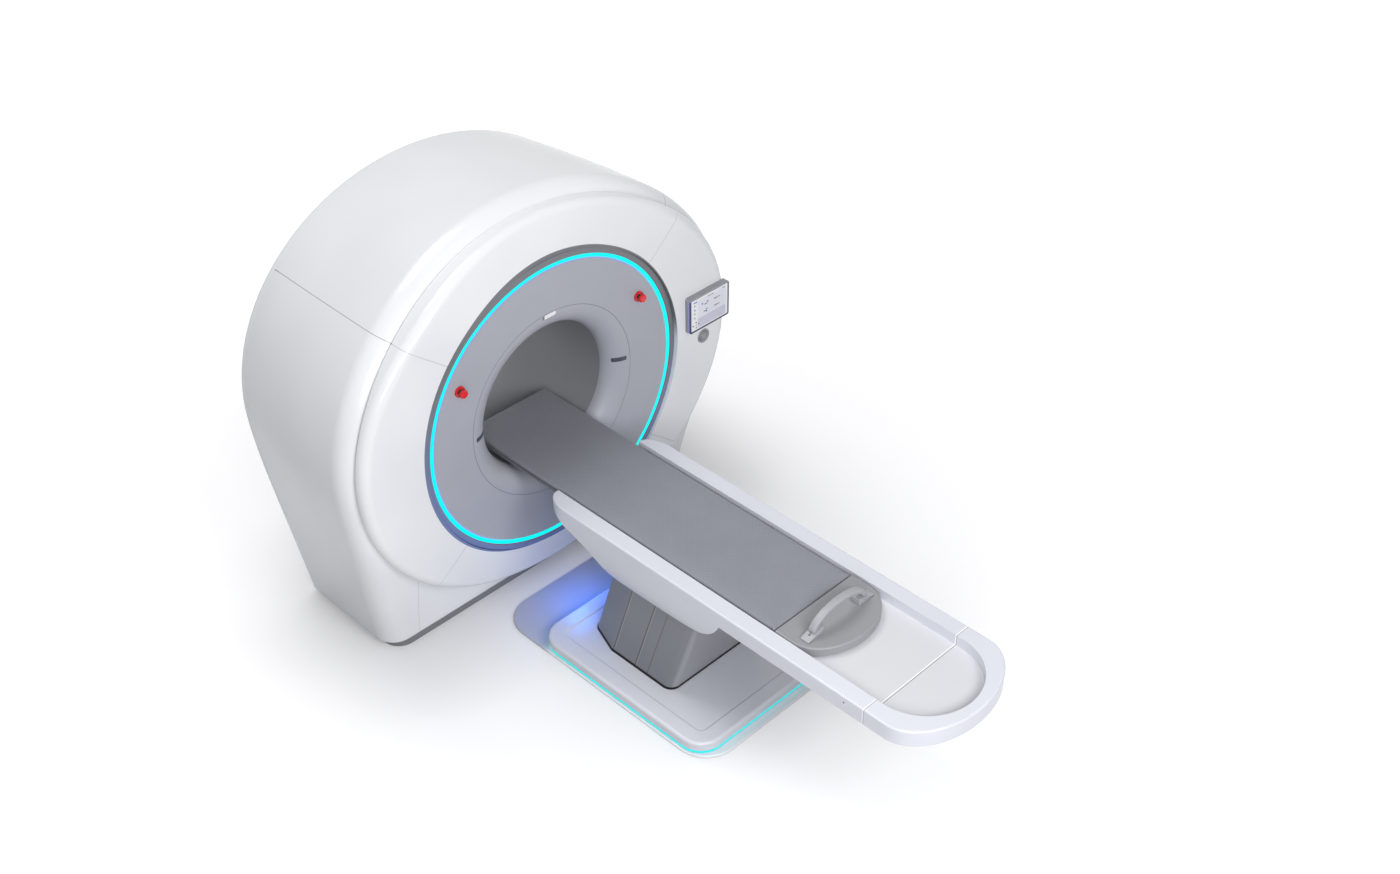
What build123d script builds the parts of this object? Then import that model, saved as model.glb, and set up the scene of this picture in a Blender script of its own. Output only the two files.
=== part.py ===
from build123d import *
from math import cos, radians, sin, sqrt, tan
import os

# Body scanner with a round bore and a patient table. Millimetres, X to the right as seen from
# the front, Y into the bore, Z up. The origin lies on the floor, under the middle of the magnet.
# The pieces are drawn with Y = 0 in the plane of the light ring and placed as they are exported.

os.makedirs("parts", exist_ok=True)

# Clearances
seat = 0.3
slide_gap = 0.3
stem_gap = 0.08
beyond = 3000.0

# Bore, bellmouth and the rings round it, measured from the bore's axis
iso_height = 970.0
bore_radius = 350.0
liner_wall = 6.0
flare_radius = 454.0
flare_depth = 89.0
flare_start = 8.0
disc_radius = 669.0
disc_wall = 6.0
disc_skirt = 30.0
light_width = 26.0
light_depth = 24.0
trim_width = 24.0
trim_depth = 70.0
ring_face = -6.0
bezel_hole = disc_radius + light_width + trim_width + 2 * seat

# Gantry covers: an arch that is widest a little over the bore's axis
front_half_width = 1085.0
front_top = 945.0
rear_half_width = 1026.0
rear_top = 910.0
base_half_width = 905.0
widest_height = 55.0
floor_margin = 20.0
shell_depth = 788.0
nose_depth = 300.0
rear_lean = 6.3
front_round = 100.0
cover_wall = 8.0
cover_flange = 60.0
panel_seam_angle = 40.0
lower_seam_half_width = 755.0
kick_height = 28.0
kick_inset = 16.0
kick_width = 70.0
cross_member_width = 160.0
rear_cover_depth = 45.0
rear_cover_round = 28.0
rear_flare_radius = 410.0
rear_flare_depth = 70.0

# Side views of the front, as distance back from the light ring against height over the axis
cover_front = (
    (107, -1290),
    (98, -670),
    (34, -270),
    (20, 70),
    (42, 470),
    (110, 790),
    (215, 1090),
)
bezel_front = (
    (60, -990),
    (0, -719),
    (-22, -370),
    (-28, 0),
    (-22, 430),
    (0, 719),
    (72, 893),
    (170, 1030),
)

# Bezel, set in from the outline of the covers
bezel_side_margin = 42.0
bezel_top_margin = 52.0
bezel_half_width = front_half_width - bezel_side_margin
bezel_top = front_top - bezel_top_margin
bezel_bottom = 885.0
bezel_round = 45.0
bezel_wall = 6.0

# Magnet and coils
body_coil_wall = 15.0
gradient_wall = 97.0
vessel_clearance = 50.0
vessel_radius = rear_top - vessel_clearance
vessel_front = 130.0
vessel_back_gap = 113.0
vessel_length = shell_depth - vessel_back_gap - vessel_front
vessel_edge = 45.0
coil_inset = 20.0
foot_width = 240.0
foot_length = 370.0
foot_spread = 420.0
foot_height = 400.0
cold_head_radius = 62.0
cold_head_reach = 96.0
cold_head_sink = 30.0
cold_head_edge = 12.0
cold_head_place = 0.65

# Stop buttons on the front disc
stop_margin = 75.4
stop_angle = 31.7
stop_collar_radius = 25.0
stop_collar_height = 9.0
stop_collar_edge = 3.0
stop_shank_radius = 14.0
stop_shank_length = 26.0
stop_stem_radius = 8.0
stop_stem_length = 20.0
stop_cap_radius = 19.0
stop_cap_height = 14.0
stop_cap_edge = 4.0
stop_travel = 4.0
stop_rest_gap = 9.0
stop_rise = stop_travel + stop_rest_gap

# Screen and call button on the right of the bezel
screen_shift = 15.7
screen_x = (bezel_hole + bezel_half_width) / 2 + screen_shift
screen_z = 97.0
screen_width = 254.0
screen_height = 182.0
screen_face = -58.0
screen_frame = 9.0
screen_corner = 10.0
glass_thickness = 3.0
call_shift = 11.0
call_drop = 163.0
call_x = screen_x - call_shift
call_z = screen_z - call_drop
call_radius = 36.0
call_cap_radius = 24.0
call_face = -33.0
call_wall = 6.0
call_depth = 22.0
call_travel = 2.0
call_step = 2.0
call_rise = 1.0
call_edge = 2.0

# Marks on the bellmouth
marker_width = 76.0
marker_height = 20.0
marker_margin = 4.0
window_length = 74.0
window_height = 14.0
window_margin = 15.0
window_lift = 15.0

# Table on the floor
plate_half_width = 428.0
plate_rear = -30.0
plate_front = -1337.0
plate_corner = 155.0
plate_thickness = 12.0
plate_edge = 3.0
plinth_side_margin = 7.0
plinth_front_margin = 37.0
plinth_half_width = plate_half_width - plinth_side_margin
plinth_rear = -290.0
plinth_front = plate_front + plinth_front_margin
plinth_corner = 110.0
plinth_height = 60.0
plinth_round = 14.0
dish_margin = 82.0
dish_depth = 5.0
strip_height = 8.0
strip_depth = 5.0
strip_level = 20.0

# Leaning column
column_lean = 17.5
column_half_width = 262.0
column_rear = -432.0
column_front = -965.0
column_corner = 45.0
column_rear_taper = 58.0
column_taper_length = 165.0
column_wall = 7.0
column_pocket = 14.0
column_gap = 5.0
rear_panel = 172.0
middle_panel = 136.0
front_panel = 76.0
mast_half_width = 120.0
mast_half_length = 150.0
mast_wall = 12.0
mast_corner = 20.0
lift_up = 60.0
lift_down = 10.0

# Cradle, mat and end piece: as wide as the bore lets the board's lower corners pass
table_drop = 204.0
rim_height = iso_height - table_drop
tray_depth = 46.0
rail_height = 5.0
board_drop = table_drop + tray_depth - rail_height
cradle_clearance = 19.0
cradle_half_width = sqrt(bore_radius ** 2 - board_drop ** 2) - cradle_clearance
cradle_far_end = 352.0
cradle_end_bow = 22.0
cradle_corner = 42.0
board_edge = 5.0
mat_seam = -1511.0
mat_recess = 2.0
mat_top = rim_height - mat_recess
mat_thickness = 26.0
mat_round = 8.0
end_length = 257.0
end_round = 168.0
end_tip = mat_seam - end_length

# Table top: hull, rim and end cap
rim_gap = 8.0
rim_width = 75.0
rim_inner_half_width = cradle_half_width + rim_gap
rim_half_width = rim_inner_half_width + rim_width
rim_side = 75.0
rim_edge = 8.0
hull_tip = -264.0
hull_tip_flat = 9.0
hull_tip_length = 125.0
hull_side_gap = 23.0
hull_wall = 6.0
cap_seam = -2030.0
cap_length = 304.0
cap_rim = 46.0
cap_end = cap_seam - cap_length
cap_inner_end = cap_end + cap_rim
cap_round = 204.0
cap_inner_round = 228.0
tray_wall = 6.0
tray_ledge = 18.0
tray_rear_step = 2.0

# Underside of the hull, as distance from its tip against depth under the rim
hull_under = (
    (0, 30),
    (75, 74),
    (190, 115),
    (292, 165),
    (350, 209),
    (420, 228),
    (520, 230),
    (690, 221),
    (833, 206),
    (920, 182),
    (985, 136),
    (1024, rim_side),
)
hull_depth = 230.0

# Beams and rails under the board
beam_width = 60.0
beam_height = 56.0
beam_wall = 5.0
beam_margin = 74.0
beam_rear = -480.0
beam_front = -1130.0
bridge_thickness = 14.0
bridge_margin = 30.0
rail_width = 34.0
rail_margin = 66.0
rail_rear = -330.0
rail_front = -1480.0
rail_edge = 1.0

# Handle on the end piece
handle_back = 119.0
handle_margin = 81.0
handle_y = mat_seam - handle_back
handle_spread = cradle_half_width - handle_margin
handle_width = 30.0
handle_thickness = 22.0
handle_height = 88.0
mount_length = 92.0
mount_width = 46.0
mount_height = 16.0
mount_corner = 12.0
mount_slope_length = 13.0
mount_slope_width = 5.0
mount_top_corner = 8.0
screw_head_radius = 6.0
screw_shank_radius = 3.0
screw_length = 14.0
screw_seat = 5.0
screw_head_height = 5.0
screw_offset = 30.0


def middle_of(a, b):
    return (a + b) / 2


def leaned(y, lean):
    """Upright plane across the gantry at y, leaning back by lean degrees, seen from the front."""
    a = radians(lean)
    return Plane(origin=(0, y, iso_height), x_dir=(1, 0, 0), z_dir=(0, -cos(a), sin(a)))


def placed(shape):
    """Shape moved so that the middle of the magnet stands over the origin."""
    return Pos(0, -vessel_front - vessel_length / 2, 0) * shape


def bow_over(centre, across, rise):
    """Upper half of an ellipse."""
    return EllipticalCenterArc(centre, across, rise, start_angle=0, arc_size=180)


def bow_under(centre, across, drop):
    """Lower half of an ellipse."""
    return EllipticalCenterArc(centre, across, drop, start_angle=180, arc_size=180)


def arch(half_width, top, base):
    """Outline of the covers: half an ellipse over sides that draw in towards the floor."""
    below = -iso_height - floor_margin
    reach = widest_height - below
    crown = bow_over((0, widest_height), half_width, top - widest_height)
    side = Bezier(
        (half_width, widest_height),
        (half_width, widest_height - 0.22 * reach),
        (base + 0.55 * (half_width - base), below + 0.5 * reach),
        (base, below),
    )
    floor_line = Line((base, below), (-base, below))
    return make_face([crown, side, mirror(side, Plane.YZ), floor_line])


def behind(side_view, shift=0.0):
    """Everything behind a side view of the front, as wide as the gantry."""
    curve = Spline(*[(y + shift, iso_height + z) for y, z in side_view])
    first = curve @ 0
    last = curve @ 1
    far = 3 * shell_depth
    back = Polyline(first, (far, first.Y), (far, last.Y), last)
    beside = 2 * base_half_width
    return extrude(Plane.YZ.offset(-beside) * make_face([curve, back]), 2 * beside)


def cover_body(inset=0.0):
    """The covers as one solid, crowned from front to back, with its front edge rounded."""
    stations = ((-80, 0.0, 0.0), (170, 0.14, 0.0), (480, 0.57, 0.35), (shell_depth, 1.0, 1.0))
    sections = []
    for y, lean, share in stations:
        half_width = front_half_width + share * (rear_half_width - front_half_width) - inset
        top = front_top + share * (rear_top - front_top) - inset
        sections.append(leaned(y, lean * rear_lean) * arch(half_width, top, base_half_width - inset))
    body = loft(sections) & behind(cover_front, inset)
    body = split(body, Plane((0, 0, kick_height)), keep=Keep.TOP)
    front = body.faces().sort_by(Axis.Y)[0]
    edges = [e for e in front.edges() if e.bounding_box().max.Z > kick_height + 1]
    return fillet(edges, front_round - inset)


def bezel_outline(inset=0.0):
    """Outline of the bezel: a round that is wider than it is high, widest over the axis."""
    across = bezel_half_width - inset
    upper = bezel_top - inset - widest_height
    lower = bezel_bottom - inset + widest_height
    crown = bow_over((0, widest_height), across, upper)
    belly = bow_under((0, widest_height), across, lower)
    return make_face([crown, belly])


def upright_bar(face, start, end):
    """Bar along the bore's axis with the given outline, from start to end."""
    return extrude(leaned(start, 0) * face, -(end - start))


def bezel_block(inset=0.0):
    """The bezel as one solid with its rounded outer edge, before its hollow and its hole."""
    block = upright_bar(bezel_outline(inset), -nose_depth, nose_depth) & behind(bezel_front, inset)
    front = block.faces().sort_by(Axis.Y)[0]
    return fillet(front.edges(), bezel_round - inset)


def along_bore(radius, start, end):
    """Solid cylinder on the bore's axis."""
    return upright_bar(Circle(radius), start, end)


def turned(*edges):
    """Ring turned about the bore's axis from a section drawn as (distance back, radius)."""
    section = Plane.YZ * make_face(list(edges))
    return Pos(0, 0, iso_height) * revolve(section, Axis.Y, 360)


def box_section(front, back, inner, outer):
    return Polyline((front, inner), (back, inner), (back, outer), (front, outer), (front, inner))


def wedge(start, end, gap):
    """Sector of the gantry between two angles about the bore's axis, drawn in by a seam gap."""
    reach = 4 * base_half_width
    turn = radians((start + end) / 2)
    shift = gap / 2 / sin(radians((end - start) / 2))
    tip = (shift * cos(turn), shift * sin(turn))
    count = 6
    angles = [radians(start + (end - start) * k / count) for k in range(count + 1)]
    rim = [(reach * cos(a), reach * sin(a)) for a in angles]
    face = make_face(Polyline(tip, *rim, tip))
    return upright_bar(face, -reach, reach)


def slab(x_low, x_high, y_low, y_high, z_low, z_high):
    middle = ((x_low + x_high) / 2, (y_low + y_high) / 2, (z_low + z_high) / 2)
    return Pos(*middle) * Box(x_high - x_low, y_high - y_low, z_high - z_low)


def rear_block(inset=0.0):
    """Back of the gantry: a shallow dish on the leaning rear edge of the covers."""
    plate = leaned(shell_depth + seat, rear_lean) * arch(
        rear_half_width - inset, rear_top - inset, base_half_width - inset
    )
    block = extrude(plate, -(rear_cover_depth - inset))
    block = split(block, Plane((0, 0, kick_height)), keep=Keep.TOP)
    lean = radians(rear_lean)
    back = block.faces().sort_by(Axis((0, 0, 0), (0, cos(lean), -sin(lean))))[-1]
    edges = [e for e in back.edges() if e.bounding_box().max.Z > kick_height + 1]
    return fillet(edges, rear_cover_round - inset)


def gantry_covers():
    shell = cover_body() - cover_body(cover_wall)
    shell = shell - upright_bar(bezel_outline(cover_flange), -nose_depth, nose_depth)
    top = shell & wedge(panel_seam_angle, 180 - panel_seam_angle, seat)
    rest = shell & wedge(180 - panel_seam_angle, 360 + panel_seam_angle, seat)
    across = lower_seam_half_width
    middle = rest & slab(-across, across, -nose_depth, nose_depth, 0, iso_height)
    across = lower_seam_half_width + seat
    sides = rest - slab(-across, across, -nose_depth, nose_depth, 0, iso_height)
    left = sides & slab(-beyond, 0, -beyond, beyond, 0, beyond)
    right = sides & slab(0, beyond, -beyond, beyond, 0, beyond)
    export_step(placed(top), "parts/top_cover.step")
    export_step(placed(left), "parts/side_cover_left.step")
    export_step(placed(right), "parts/side_cover_right.step")
    export_step(placed(middle), "parts/front_lower_cover.step")


def base_frame():
    """Frame that carries the covers, set back so that it shows as a dark strip."""
    lean = tan(radians(rear_lean))
    front = cover_front[0][0] + kick_inset
    rear = shell_depth - iso_height * lean - kick_inset
    across = base_half_width - kick_inset
    at = Pos(0, middle_of(front, rear))
    outer = at * RectangleRounded(2 * across, rear - front, front_round - kick_inset)
    hole = at * Rectangle(2 * (across - kick_width), rear - front - 2 * kick_width)
    plan = (outer - hole) + at * Rectangle(cross_member_width, rear - front - kick_width)
    frame = extrude(plan, kick_height - seat) - along_bore(vessel_radius + seat, 0, shell_depth)
    export_step(placed(frame), "parts/base_frame.step")


def rear_cover():
    dish = rear_block() - rear_block(cover_wall)
    dish = dish - along_bore(rear_flare_radius + seat, 0, 3 * shell_depth)
    export_step(placed(dish), "parts/rear_cover.step")


def bezel_panels():
    opening = along_bore(bezel_hole, -nose_depth, nose_depth)
    shell = bezel_block() - bezel_block(bezel_wall)
    shell = shell - behind(cover_front, -seat) - opening
    lip = along_bore(bezel_hole + bezel_wall, -trim_depth, trim_depth + ring_face)
    shell = shell + (lip & bezel_block()) - opening
    button = Pos(call_x, call_z) * Circle(call_cap_radius + call_wall + seat)
    shell = shell - upright_bar(button, -nose_depth, nose_depth)
    names = (
        ("bezel_right", -panel_seam_angle, panel_seam_angle),
        ("bezel_top", panel_seam_angle, 180 - panel_seam_angle),
        ("bezel_left", 180 - panel_seam_angle, 180 + panel_seam_angle),
        ("bezel_bottom", 180 + panel_seam_angle, 360 - panel_seam_angle),
    )
    for name, start, end in names:
        export_step(placed(shell & wedge(start, end, seat)), f"parts/{name}.step")


def rings():
    light_outer = disc_radius + light_width
    trim_inner = light_outer + seat
    trim = turned(box_section(ring_face - 2, trim_depth, trim_inner, trim_inner + trim_width))
    light = turned(box_section(ring_face, light_depth, disc_radius + seat, light_outer))
    export_step(placed(trim), "parts/trim_ring.step")
    export_step(placed(light), "parts/light_ring.step")


def disc_edge(back):
    """Front line of the disc from the light ring to the bellmouth, set back by a wall."""
    return Line((ring_face + 2 + back, disc_radius), (flare_start + back, flare_radius + seat))


def disc_face(radius):
    """Distance back of the front disc at a radius."""
    share = (disc_radius - radius) / (disc_radius - flare_radius - seat)
    return ring_face + 2 + share * (flare_start - ring_face - 2)


def stop_radius():
    return disc_radius - stop_margin


def stop_places():
    across = stop_radius() * cos(radians(stop_angle))
    up = stop_radius() * sin(radians(stop_angle))
    return ((Pos(-across, up), "left"), (Pos(across, up), "right"))


def front_disc():
    front = disc_edge(0.0)
    inner = flare_radius + seat
    skirt = Polyline(
        (flare_start, inner),
        (flare_start + disc_wall, inner),
        (ring_face + 2 + disc_wall, disc_radius - disc_wall),
        (disc_skirt, disc_radius - disc_wall),
        (disc_skirt, disc_radius),
        (ring_face + 2, disc_radius),
    )
    disc = turned(front, skirt)
    face = disc_face(stop_radius())
    for at, _ in stop_places():
        disc = disc - upright_bar(at * Circle(stop_shank_radius + seat), -nose_depth, nose_depth)
        disc = disc - upright_bar(at * Circle(stop_collar_radius + seat), -nose_depth, face)
    export_step(placed(disc), "parts/front_disc.step")


def bellmouth(wall):
    """Quarter ellipse from the disc into the bore, as (distance back, radius)."""
    end = flare_start + flare_depth
    return EllipticalCenterArc(
        (end, flare_radius),
        flare_depth - wall,
        flare_radius - bore_radius - wall,
        start_angle=180,
        arc_size=90,
    )


def bore():
    end = flare_start + flare_depth
    mouth = turned(
        bellmouth(0.0),
        bellmouth(liner_wall),
        Line((flare_start, flare_radius), (flare_start + liner_wall, flare_radius)),
        Line((end, bore_radius), (end, bore_radius + liner_wall)),
    )
    top = Pos(0, flare_radius - marker_margin - marker_height / 2)
    aside = flare_radius - window_margin - window_length / 2
    marks = (
        ("marker_light", top, marker_width, marker_height),
        ("laser_window_left", Pos(-aside, window_lift), window_length, window_height),
        ("laser_window_right", Pos(aside, window_lift), window_length, window_height),
    )
    opened = mouth
    for name, at, length, height in marks:
        pocket = at * SlotOverall(length + 2 * seat, height + 2 * seat)
        plug = upright_bar(at * SlotOverall(length, height), 0, 2 * flare_depth)
        opened = opened - upright_bar(pocket, 0, 2 * flare_depth)
        export_step(placed(mouth & plug), f"parts/{name}.step")
    export_step(placed(opened), "parts/bore_flare.step")

    rear = shell_depth - rear_flare_depth
    liner = along_bore(bore_radius + liner_wall, end + seat, rear - seat)
    liner = liner - along_bore(bore_radius, 0, 2 * shell_depth)
    export_step(placed(liner), "parts/bore_liner.step")

    open_end = shell_depth + 3 * rear_cover_depth
    wide = rear_flare_radius - liner_wall
    inner = ((rear, bore_radius), (rear + 75, bore_radius + 14), (open_end, wide))
    outer = [(y, radius + liner_wall) for y, radius in inner]
    trumpet = turned(
        Spline(*inner),
        Line(inner[2], outer[2]),
        Spline(*reversed(outer)),
        Line(outer[0], inner[0]),
    )
    back_plane = leaned(shell_depth + rear_cover_depth, rear_lean)
    trumpet = split(trumpet, back_plane, keep=Keep.TOP)
    export_step(placed(trumpet), "parts/rear_flare.step")


def magnet():
    end = vessel_front + vessel_length
    vessel_bore = bore_radius + liner_wall + 3 * seat + body_coil_wall + gradient_wall
    vessel = along_bore(vessel_radius, vessel_front, end)
    vessel = chamfer(vessel.edges(), vessel_edge)
    vessel = vessel - along_bore(vessel_bore, 0, 2 * end)
    middle = vessel_front + cold_head_place * vessel_length
    axis = Plane(origin=(0, middle, iso_height), z_dir=(1, 0, 1))
    root = axis.offset(vessel_radius - cold_head_sink)
    head = extrude(root * Circle(cold_head_radius), cold_head_sink + cold_head_reach)
    head = chamfer(head.edges().sort_by(Axis.Z)[-1], cold_head_edge)
    head = head - along_bore(vessel_radius + seat, 0, 2 * end)
    coil_front = vessel_front + coil_inset
    coil_end = end - coil_inset
    gradient_bore = vessel_bore - seat - gradient_wall
    gradient = along_bore(vessel_bore - seat, coil_front, coil_end)
    gradient = gradient - along_bore(gradient_bore, 0, 2 * end)
    body_coil = along_bore(gradient_bore - seat, coil_front, coil_end)
    body_coil = body_coil - along_bore(bore_radius + liner_wall + seat, 0, 2 * end)
    export_step(placed(vessel), "parts/magnet_vessel.step")
    export_step(placed(head), "parts/cold_head.step")
    export_step(placed(gradient), "parts/gradient_coil.step")
    export_step(placed(body_coil), "parts/body_coil.step")
    near = middle_of(vessel_front, end) - foot_length / 2
    for x, side in ((-foot_spread, "left"), (foot_spread, "right")):
        foot = slab(x - foot_width / 2, x + foot_width / 2, near, near + foot_length, 0, foot_height)
        foot = foot - along_bore(vessel_radius + seat, 0, 2 * end)
        export_step(placed(foot), f"parts/magnet_foot_{side}.step")


def stop_buttons():
    face = disc_face(stop_radius())
    hole = Circle(stop_stem_radius + stem_gap)
    for at, side in stop_places():
        collar = upright_bar(at * Circle(stop_collar_radius), face - stop_collar_height, face)
        collar = chamfer(collar.edges().sort_by(Axis.Y)[0], stop_collar_edge)
        collar = collar + upright_bar(at * Circle(stop_shank_radius), face, face + stop_shank_length)
        collar = collar - upright_bar(at * hole, -nose_depth, nose_depth)
        under = face - stop_collar_height - stop_rise
        cap = upright_bar(at * Circle(stop_cap_radius), under - stop_cap_height, under)
        cap = chamfer(cap.edges().sort_by(Axis.Y)[0], stop_cap_edge)
        cap = cap + upright_bar(at * Circle(stop_stem_radius), under, face + stop_stem_length)
        export_step(placed(collar), f"parts/stop_collar_{side}.step")
        export_step(placed(cap), f"parts/stop_button_{side}.step")


def screen_plan(margin, corner):
    size = (screen_width - 2 * margin, screen_height - 2 * margin)
    return Pos(screen_x, screen_z) * RectangleRounded(*size, corner)


def screen():
    glass_back = screen_face + glass_thickness
    housing = upright_bar(screen_plan(0, screen_corner), screen_face, nose_depth)
    housing = housing - behind(bezel_front, -seat)
    pocket = upright_bar(screen_plan(screen_frame, screen_corner / 2), -nose_depth, glass_back)
    glass = upright_bar(screen_plan(screen_frame + seat, screen_corner / 2), screen_face, glass_back)
    export_step(placed(housing - pocket), "parts/screen_housing.step")
    export_step(placed(glass), "parts/screen_glass.step")


def call_button():
    at = Pos(call_x, call_z)
    shank = call_cap_radius + call_wall
    collar = upright_bar(at * Circle(call_radius), call_face, nose_depth)
    collar = collar - behind(bezel_front, -seat)
    collar = collar + upright_bar(at * Circle(shank), call_face + call_step, call_face + call_depth)
    hole = at * Circle(call_cap_radius + stem_gap)
    collar = collar - upright_bar(hole, -nose_depth, nose_depth)
    cap_back = call_face + call_depth - 2 * call_travel
    cap = upright_bar(at * Circle(call_cap_radius), call_face - call_rise, cap_back)
    cap = chamfer(cap.edges().sort_by(Axis.Y)[0], call_edge)
    export_step(placed(collar), "parts/call_collar.step")
    export_step(placed(cap), "parts/call_button.step")


def lying(low, high, half_width, corner):
    """Plan of a rounded rectangle between two Y values."""
    return Pos(0, middle_of(low, high)) * RectangleRounded(2 * half_width, high - low, corner)


def table_base():
    plate = extrude(lying(plate_front, plate_rear, plate_half_width, plate_corner), plate_thickness)
    plate = chamfer(plate.faces().sort_by(Axis.Z)[-1].edges(), plate_edge)
    export_step(placed(plate), "parts/floor_plate.step")

    plan = lying(plinth_front, plinth_rear, plinth_half_width, plinth_corner)
    groove_plan = plan - offset(plan, -strip_depth)
    foot = Pos(0, 0, plate_thickness)
    plinth = foot * extrude(plan, plinth_height)
    plinth = fillet(plinth.faces().sort_by(Axis.Z)[-1].edges(), plinth_round)
    dish_plan = offset(plan, -dish_margin)
    top = plate_thickness + plinth_height
    plinth = plinth - Pos(0, 0, top - dish_depth) * extrude(dish_plan, 2 * dish_depth, taper=-60)
    plinth = plinth - Pos(0, 0, strip_level) * extrude(groove_plan, strip_height)
    pocket_plan = offset(column_plan(), column_gap)
    plinth = plinth - leaning(pocket_plan, top - column_pocket, top + column_pocket)
    strip_plan = offset(plan, -seat) - offset(plan, -strip_depth)
    strip = Pos(0, 0, strip_level) * extrude(strip_plan, strip_height)
    export_step(placed(plinth), "parts/plinth.step")
    export_step(placed(strip), "parts/plinth_light.step")


def column_plan(inset=0.0):
    """Plan of the column where it leaves the plinth: narrower towards the gantry."""
    across = column_half_width - inset
    narrow = across - column_rear_taper
    front = column_front + inset
    rear = column_rear - inset
    shoulder = column_rear - column_taper_length
    half = [(across, front), (across, shoulder), (narrow, rear)]
    other = [(-x, y) for x, y in reversed(half)]
    plan = make_face(Polyline(*half, *other, half[0]))
    corners = plan.vertices().sort_by(Axis.Y)
    return fillet(corners[:2] + corners[-2:], column_corner - inset)


def leaning(plan, low, high):
    """Bar that leans away from the gantry as it rises, with its plan given at the plinth's top."""
    slope = tan(radians(column_lean))
    start = Pos(0, -slope * (low - plate_thickness - plinth_height), low) * plan
    length = (high - low) / cos(radians(column_lean))
    return extrude(start, length, dir=(0, -sin(radians(column_lean)), cos(radians(column_lean))))


def column_top():
    """Height of the column inside the hull, clear of the beams when the table is down."""
    return chassis_low() - 2 * lift_down


def column():
    low = plate_thickness + plinth_height - column_pocket
    shell_plan = column_plan() - column_plan(column_wall)
    far = 2 * plate_half_width
    groove_rear = column_rear - rear_panel
    groove_middle = groove_rear - middle_panel
    groove_front = groove_middle - front_panel
    spans = (
        ("column_rear_cover", groove_rear + seat, far, -far, far),
        ("column_front_cover", -4 * far, groove_front - seat, -far, far),
        ("column_panel_left_rear", groove_middle + seat, groove_rear, -far, 0),
        ("column_panel_left_front", groove_front, groove_middle, -far, 0),
        ("column_panel_right_rear", groove_middle + seat, groove_rear, 0, far),
        ("column_panel_right_front", groove_front, groove_middle, 0, far),
    )
    for name, y_low, y_high, x_low, x_high in spans:
        at = Pos(middle_of(x_low, x_high), middle_of(y_low, y_high))
        piece = shell_plan & (at * Rectangle(x_high - x_low, y_high - y_low))
        export_step(placed(leaning(piece, low, column_top())), f"parts/{name}.step")
    frame_plan = column_plan(column_wall + seat) - column_plan(2 * column_wall + seat)
    frame = leaning(frame_plan, low, column_top() - column_wall)
    export_step(placed(frame), "parts/column_frame.step")


def mast():
    low = plate_thickness + plinth_height - column_pocket
    at = Pos(0, middle_of(column_front, column_rear))
    outer = at * RectangleRounded(2 * mast_half_width, 2 * mast_half_length, mast_corner)
    bore_plan = offset(outer, -mast_wall)
    ram_plan = offset(bore_plan, -slide_gap)
    hollow = offset(bore_plan, -mast_wall - slide_gap)
    sleeve = leaning(outer - bore_plan, low, column_top() - 2 * lift_up)
    ram = leaning(ram_plan - hollow, low + 2 * lift_down, chassis_low())
    export_step(placed(sleeve), "parts/mast_sleeve.step")
    export_step(placed(ram), "parts/mast_ram.step")


def hull_side_view(inset=0.0):
    """Side of the hull: a tip, a hollow sweep down to the column and a nose up to the rail."""
    rail = rim_height - rim_side + inset
    tip = hull_tip - inset
    top = rim_height - inset
    under = Spline(*[(tip - back, rim_height - drop + inset) for back, drop in hull_under])
    end_box = Polyline(under @ 1, (cap_seam, rail), (cap_seam, top), (tip, top), under @ 0)
    return make_face([under, end_box])


def hull_plan(inset=0.0):
    """Plan of the rim, drawn in to rounded tips beside the cradle."""
    across = rim_half_width - inset
    narrow = rim_inner_half_width + hull_tip_flat
    tip = hull_tip - inset
    turn = hull_tip - hull_tip_length
    side = EllipticalCenterArc(
        (narrow, turn), across - narrow, tip - turn, start_angle=0, arc_size=90
    )
    edges = [
        Polyline((-across, turn), (-across, cap_seam), (across, cap_seam), (across, turn)),
        side,
        Line((narrow, tip), (-narrow, tip)),
        mirror(side, Plane.YZ),
    ]
    return make_face(edges)


def hull_section(inset=0.0):
    """Cross-section of the hull: upright rim sides that draw in towards the column."""
    across = rim_half_width - inset
    low = rim_height - hull_depth + inset
    narrow = column_half_width + hull_side_gap - inset
    turn = rim_height - rim_side
    side = Spline((across, turn), (narrow, low), tangents=((0, -1), (-0.5, -1)))
    rim = Polyline((across, turn), (across, rim_height), (-across, rim_height), (-across, turn))
    return make_face([rim, side, mirror(side, Plane.YZ), Line((narrow, low), (-narrow, low))])


def hull_block(inset=0.0):
    """Outer form of the hull from its three views."""
    side = extrude(Plane.YZ.offset(-rim_half_width) * hull_side_view(inset), 2 * rim_half_width)
    plan = extrude(hull_plan(inset), rim_height)
    section = extrude(Plane.XZ * hull_section(inset), -2 * cap_seam)
    return side & plan & section


def hull():
    """Hull with its box rim, open above between the rims and below round the column."""
    level = ledge_top()
    far = 2 * cap_end
    channel = slab(-rim_inner_half_width, rim_inner_half_width, far, 0, level, 2 * rim_height)
    outer = hull_block()
    top = outer.faces().sort_by(Axis.Z)[-1]
    outer = fillet(top.edges().filter_by(lambda e: e.center().Y > cap_seam + 1), rim_edge)
    cavity = hull_block(hull_wall)
    for side in (-1, 1):
        wall_low = side * (rim_inner_half_width - tray_ledge)
        wall_high = side * (rim_inner_half_width + hull_wall)
        near, away = sorted((wall_low, wall_high))
        cavity = cavity - slab(near, away, far, 0, level - hull_wall, 2 * rim_height)
    body = outer - cavity - channel
    opening = leaning(offset(column_plan(), column_gap), plate_thickness, level - hull_wall)
    export_step(placed(body - opening), "parts/hull.step")


def tray_top():
    return rim_height - tray_depth


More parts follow.
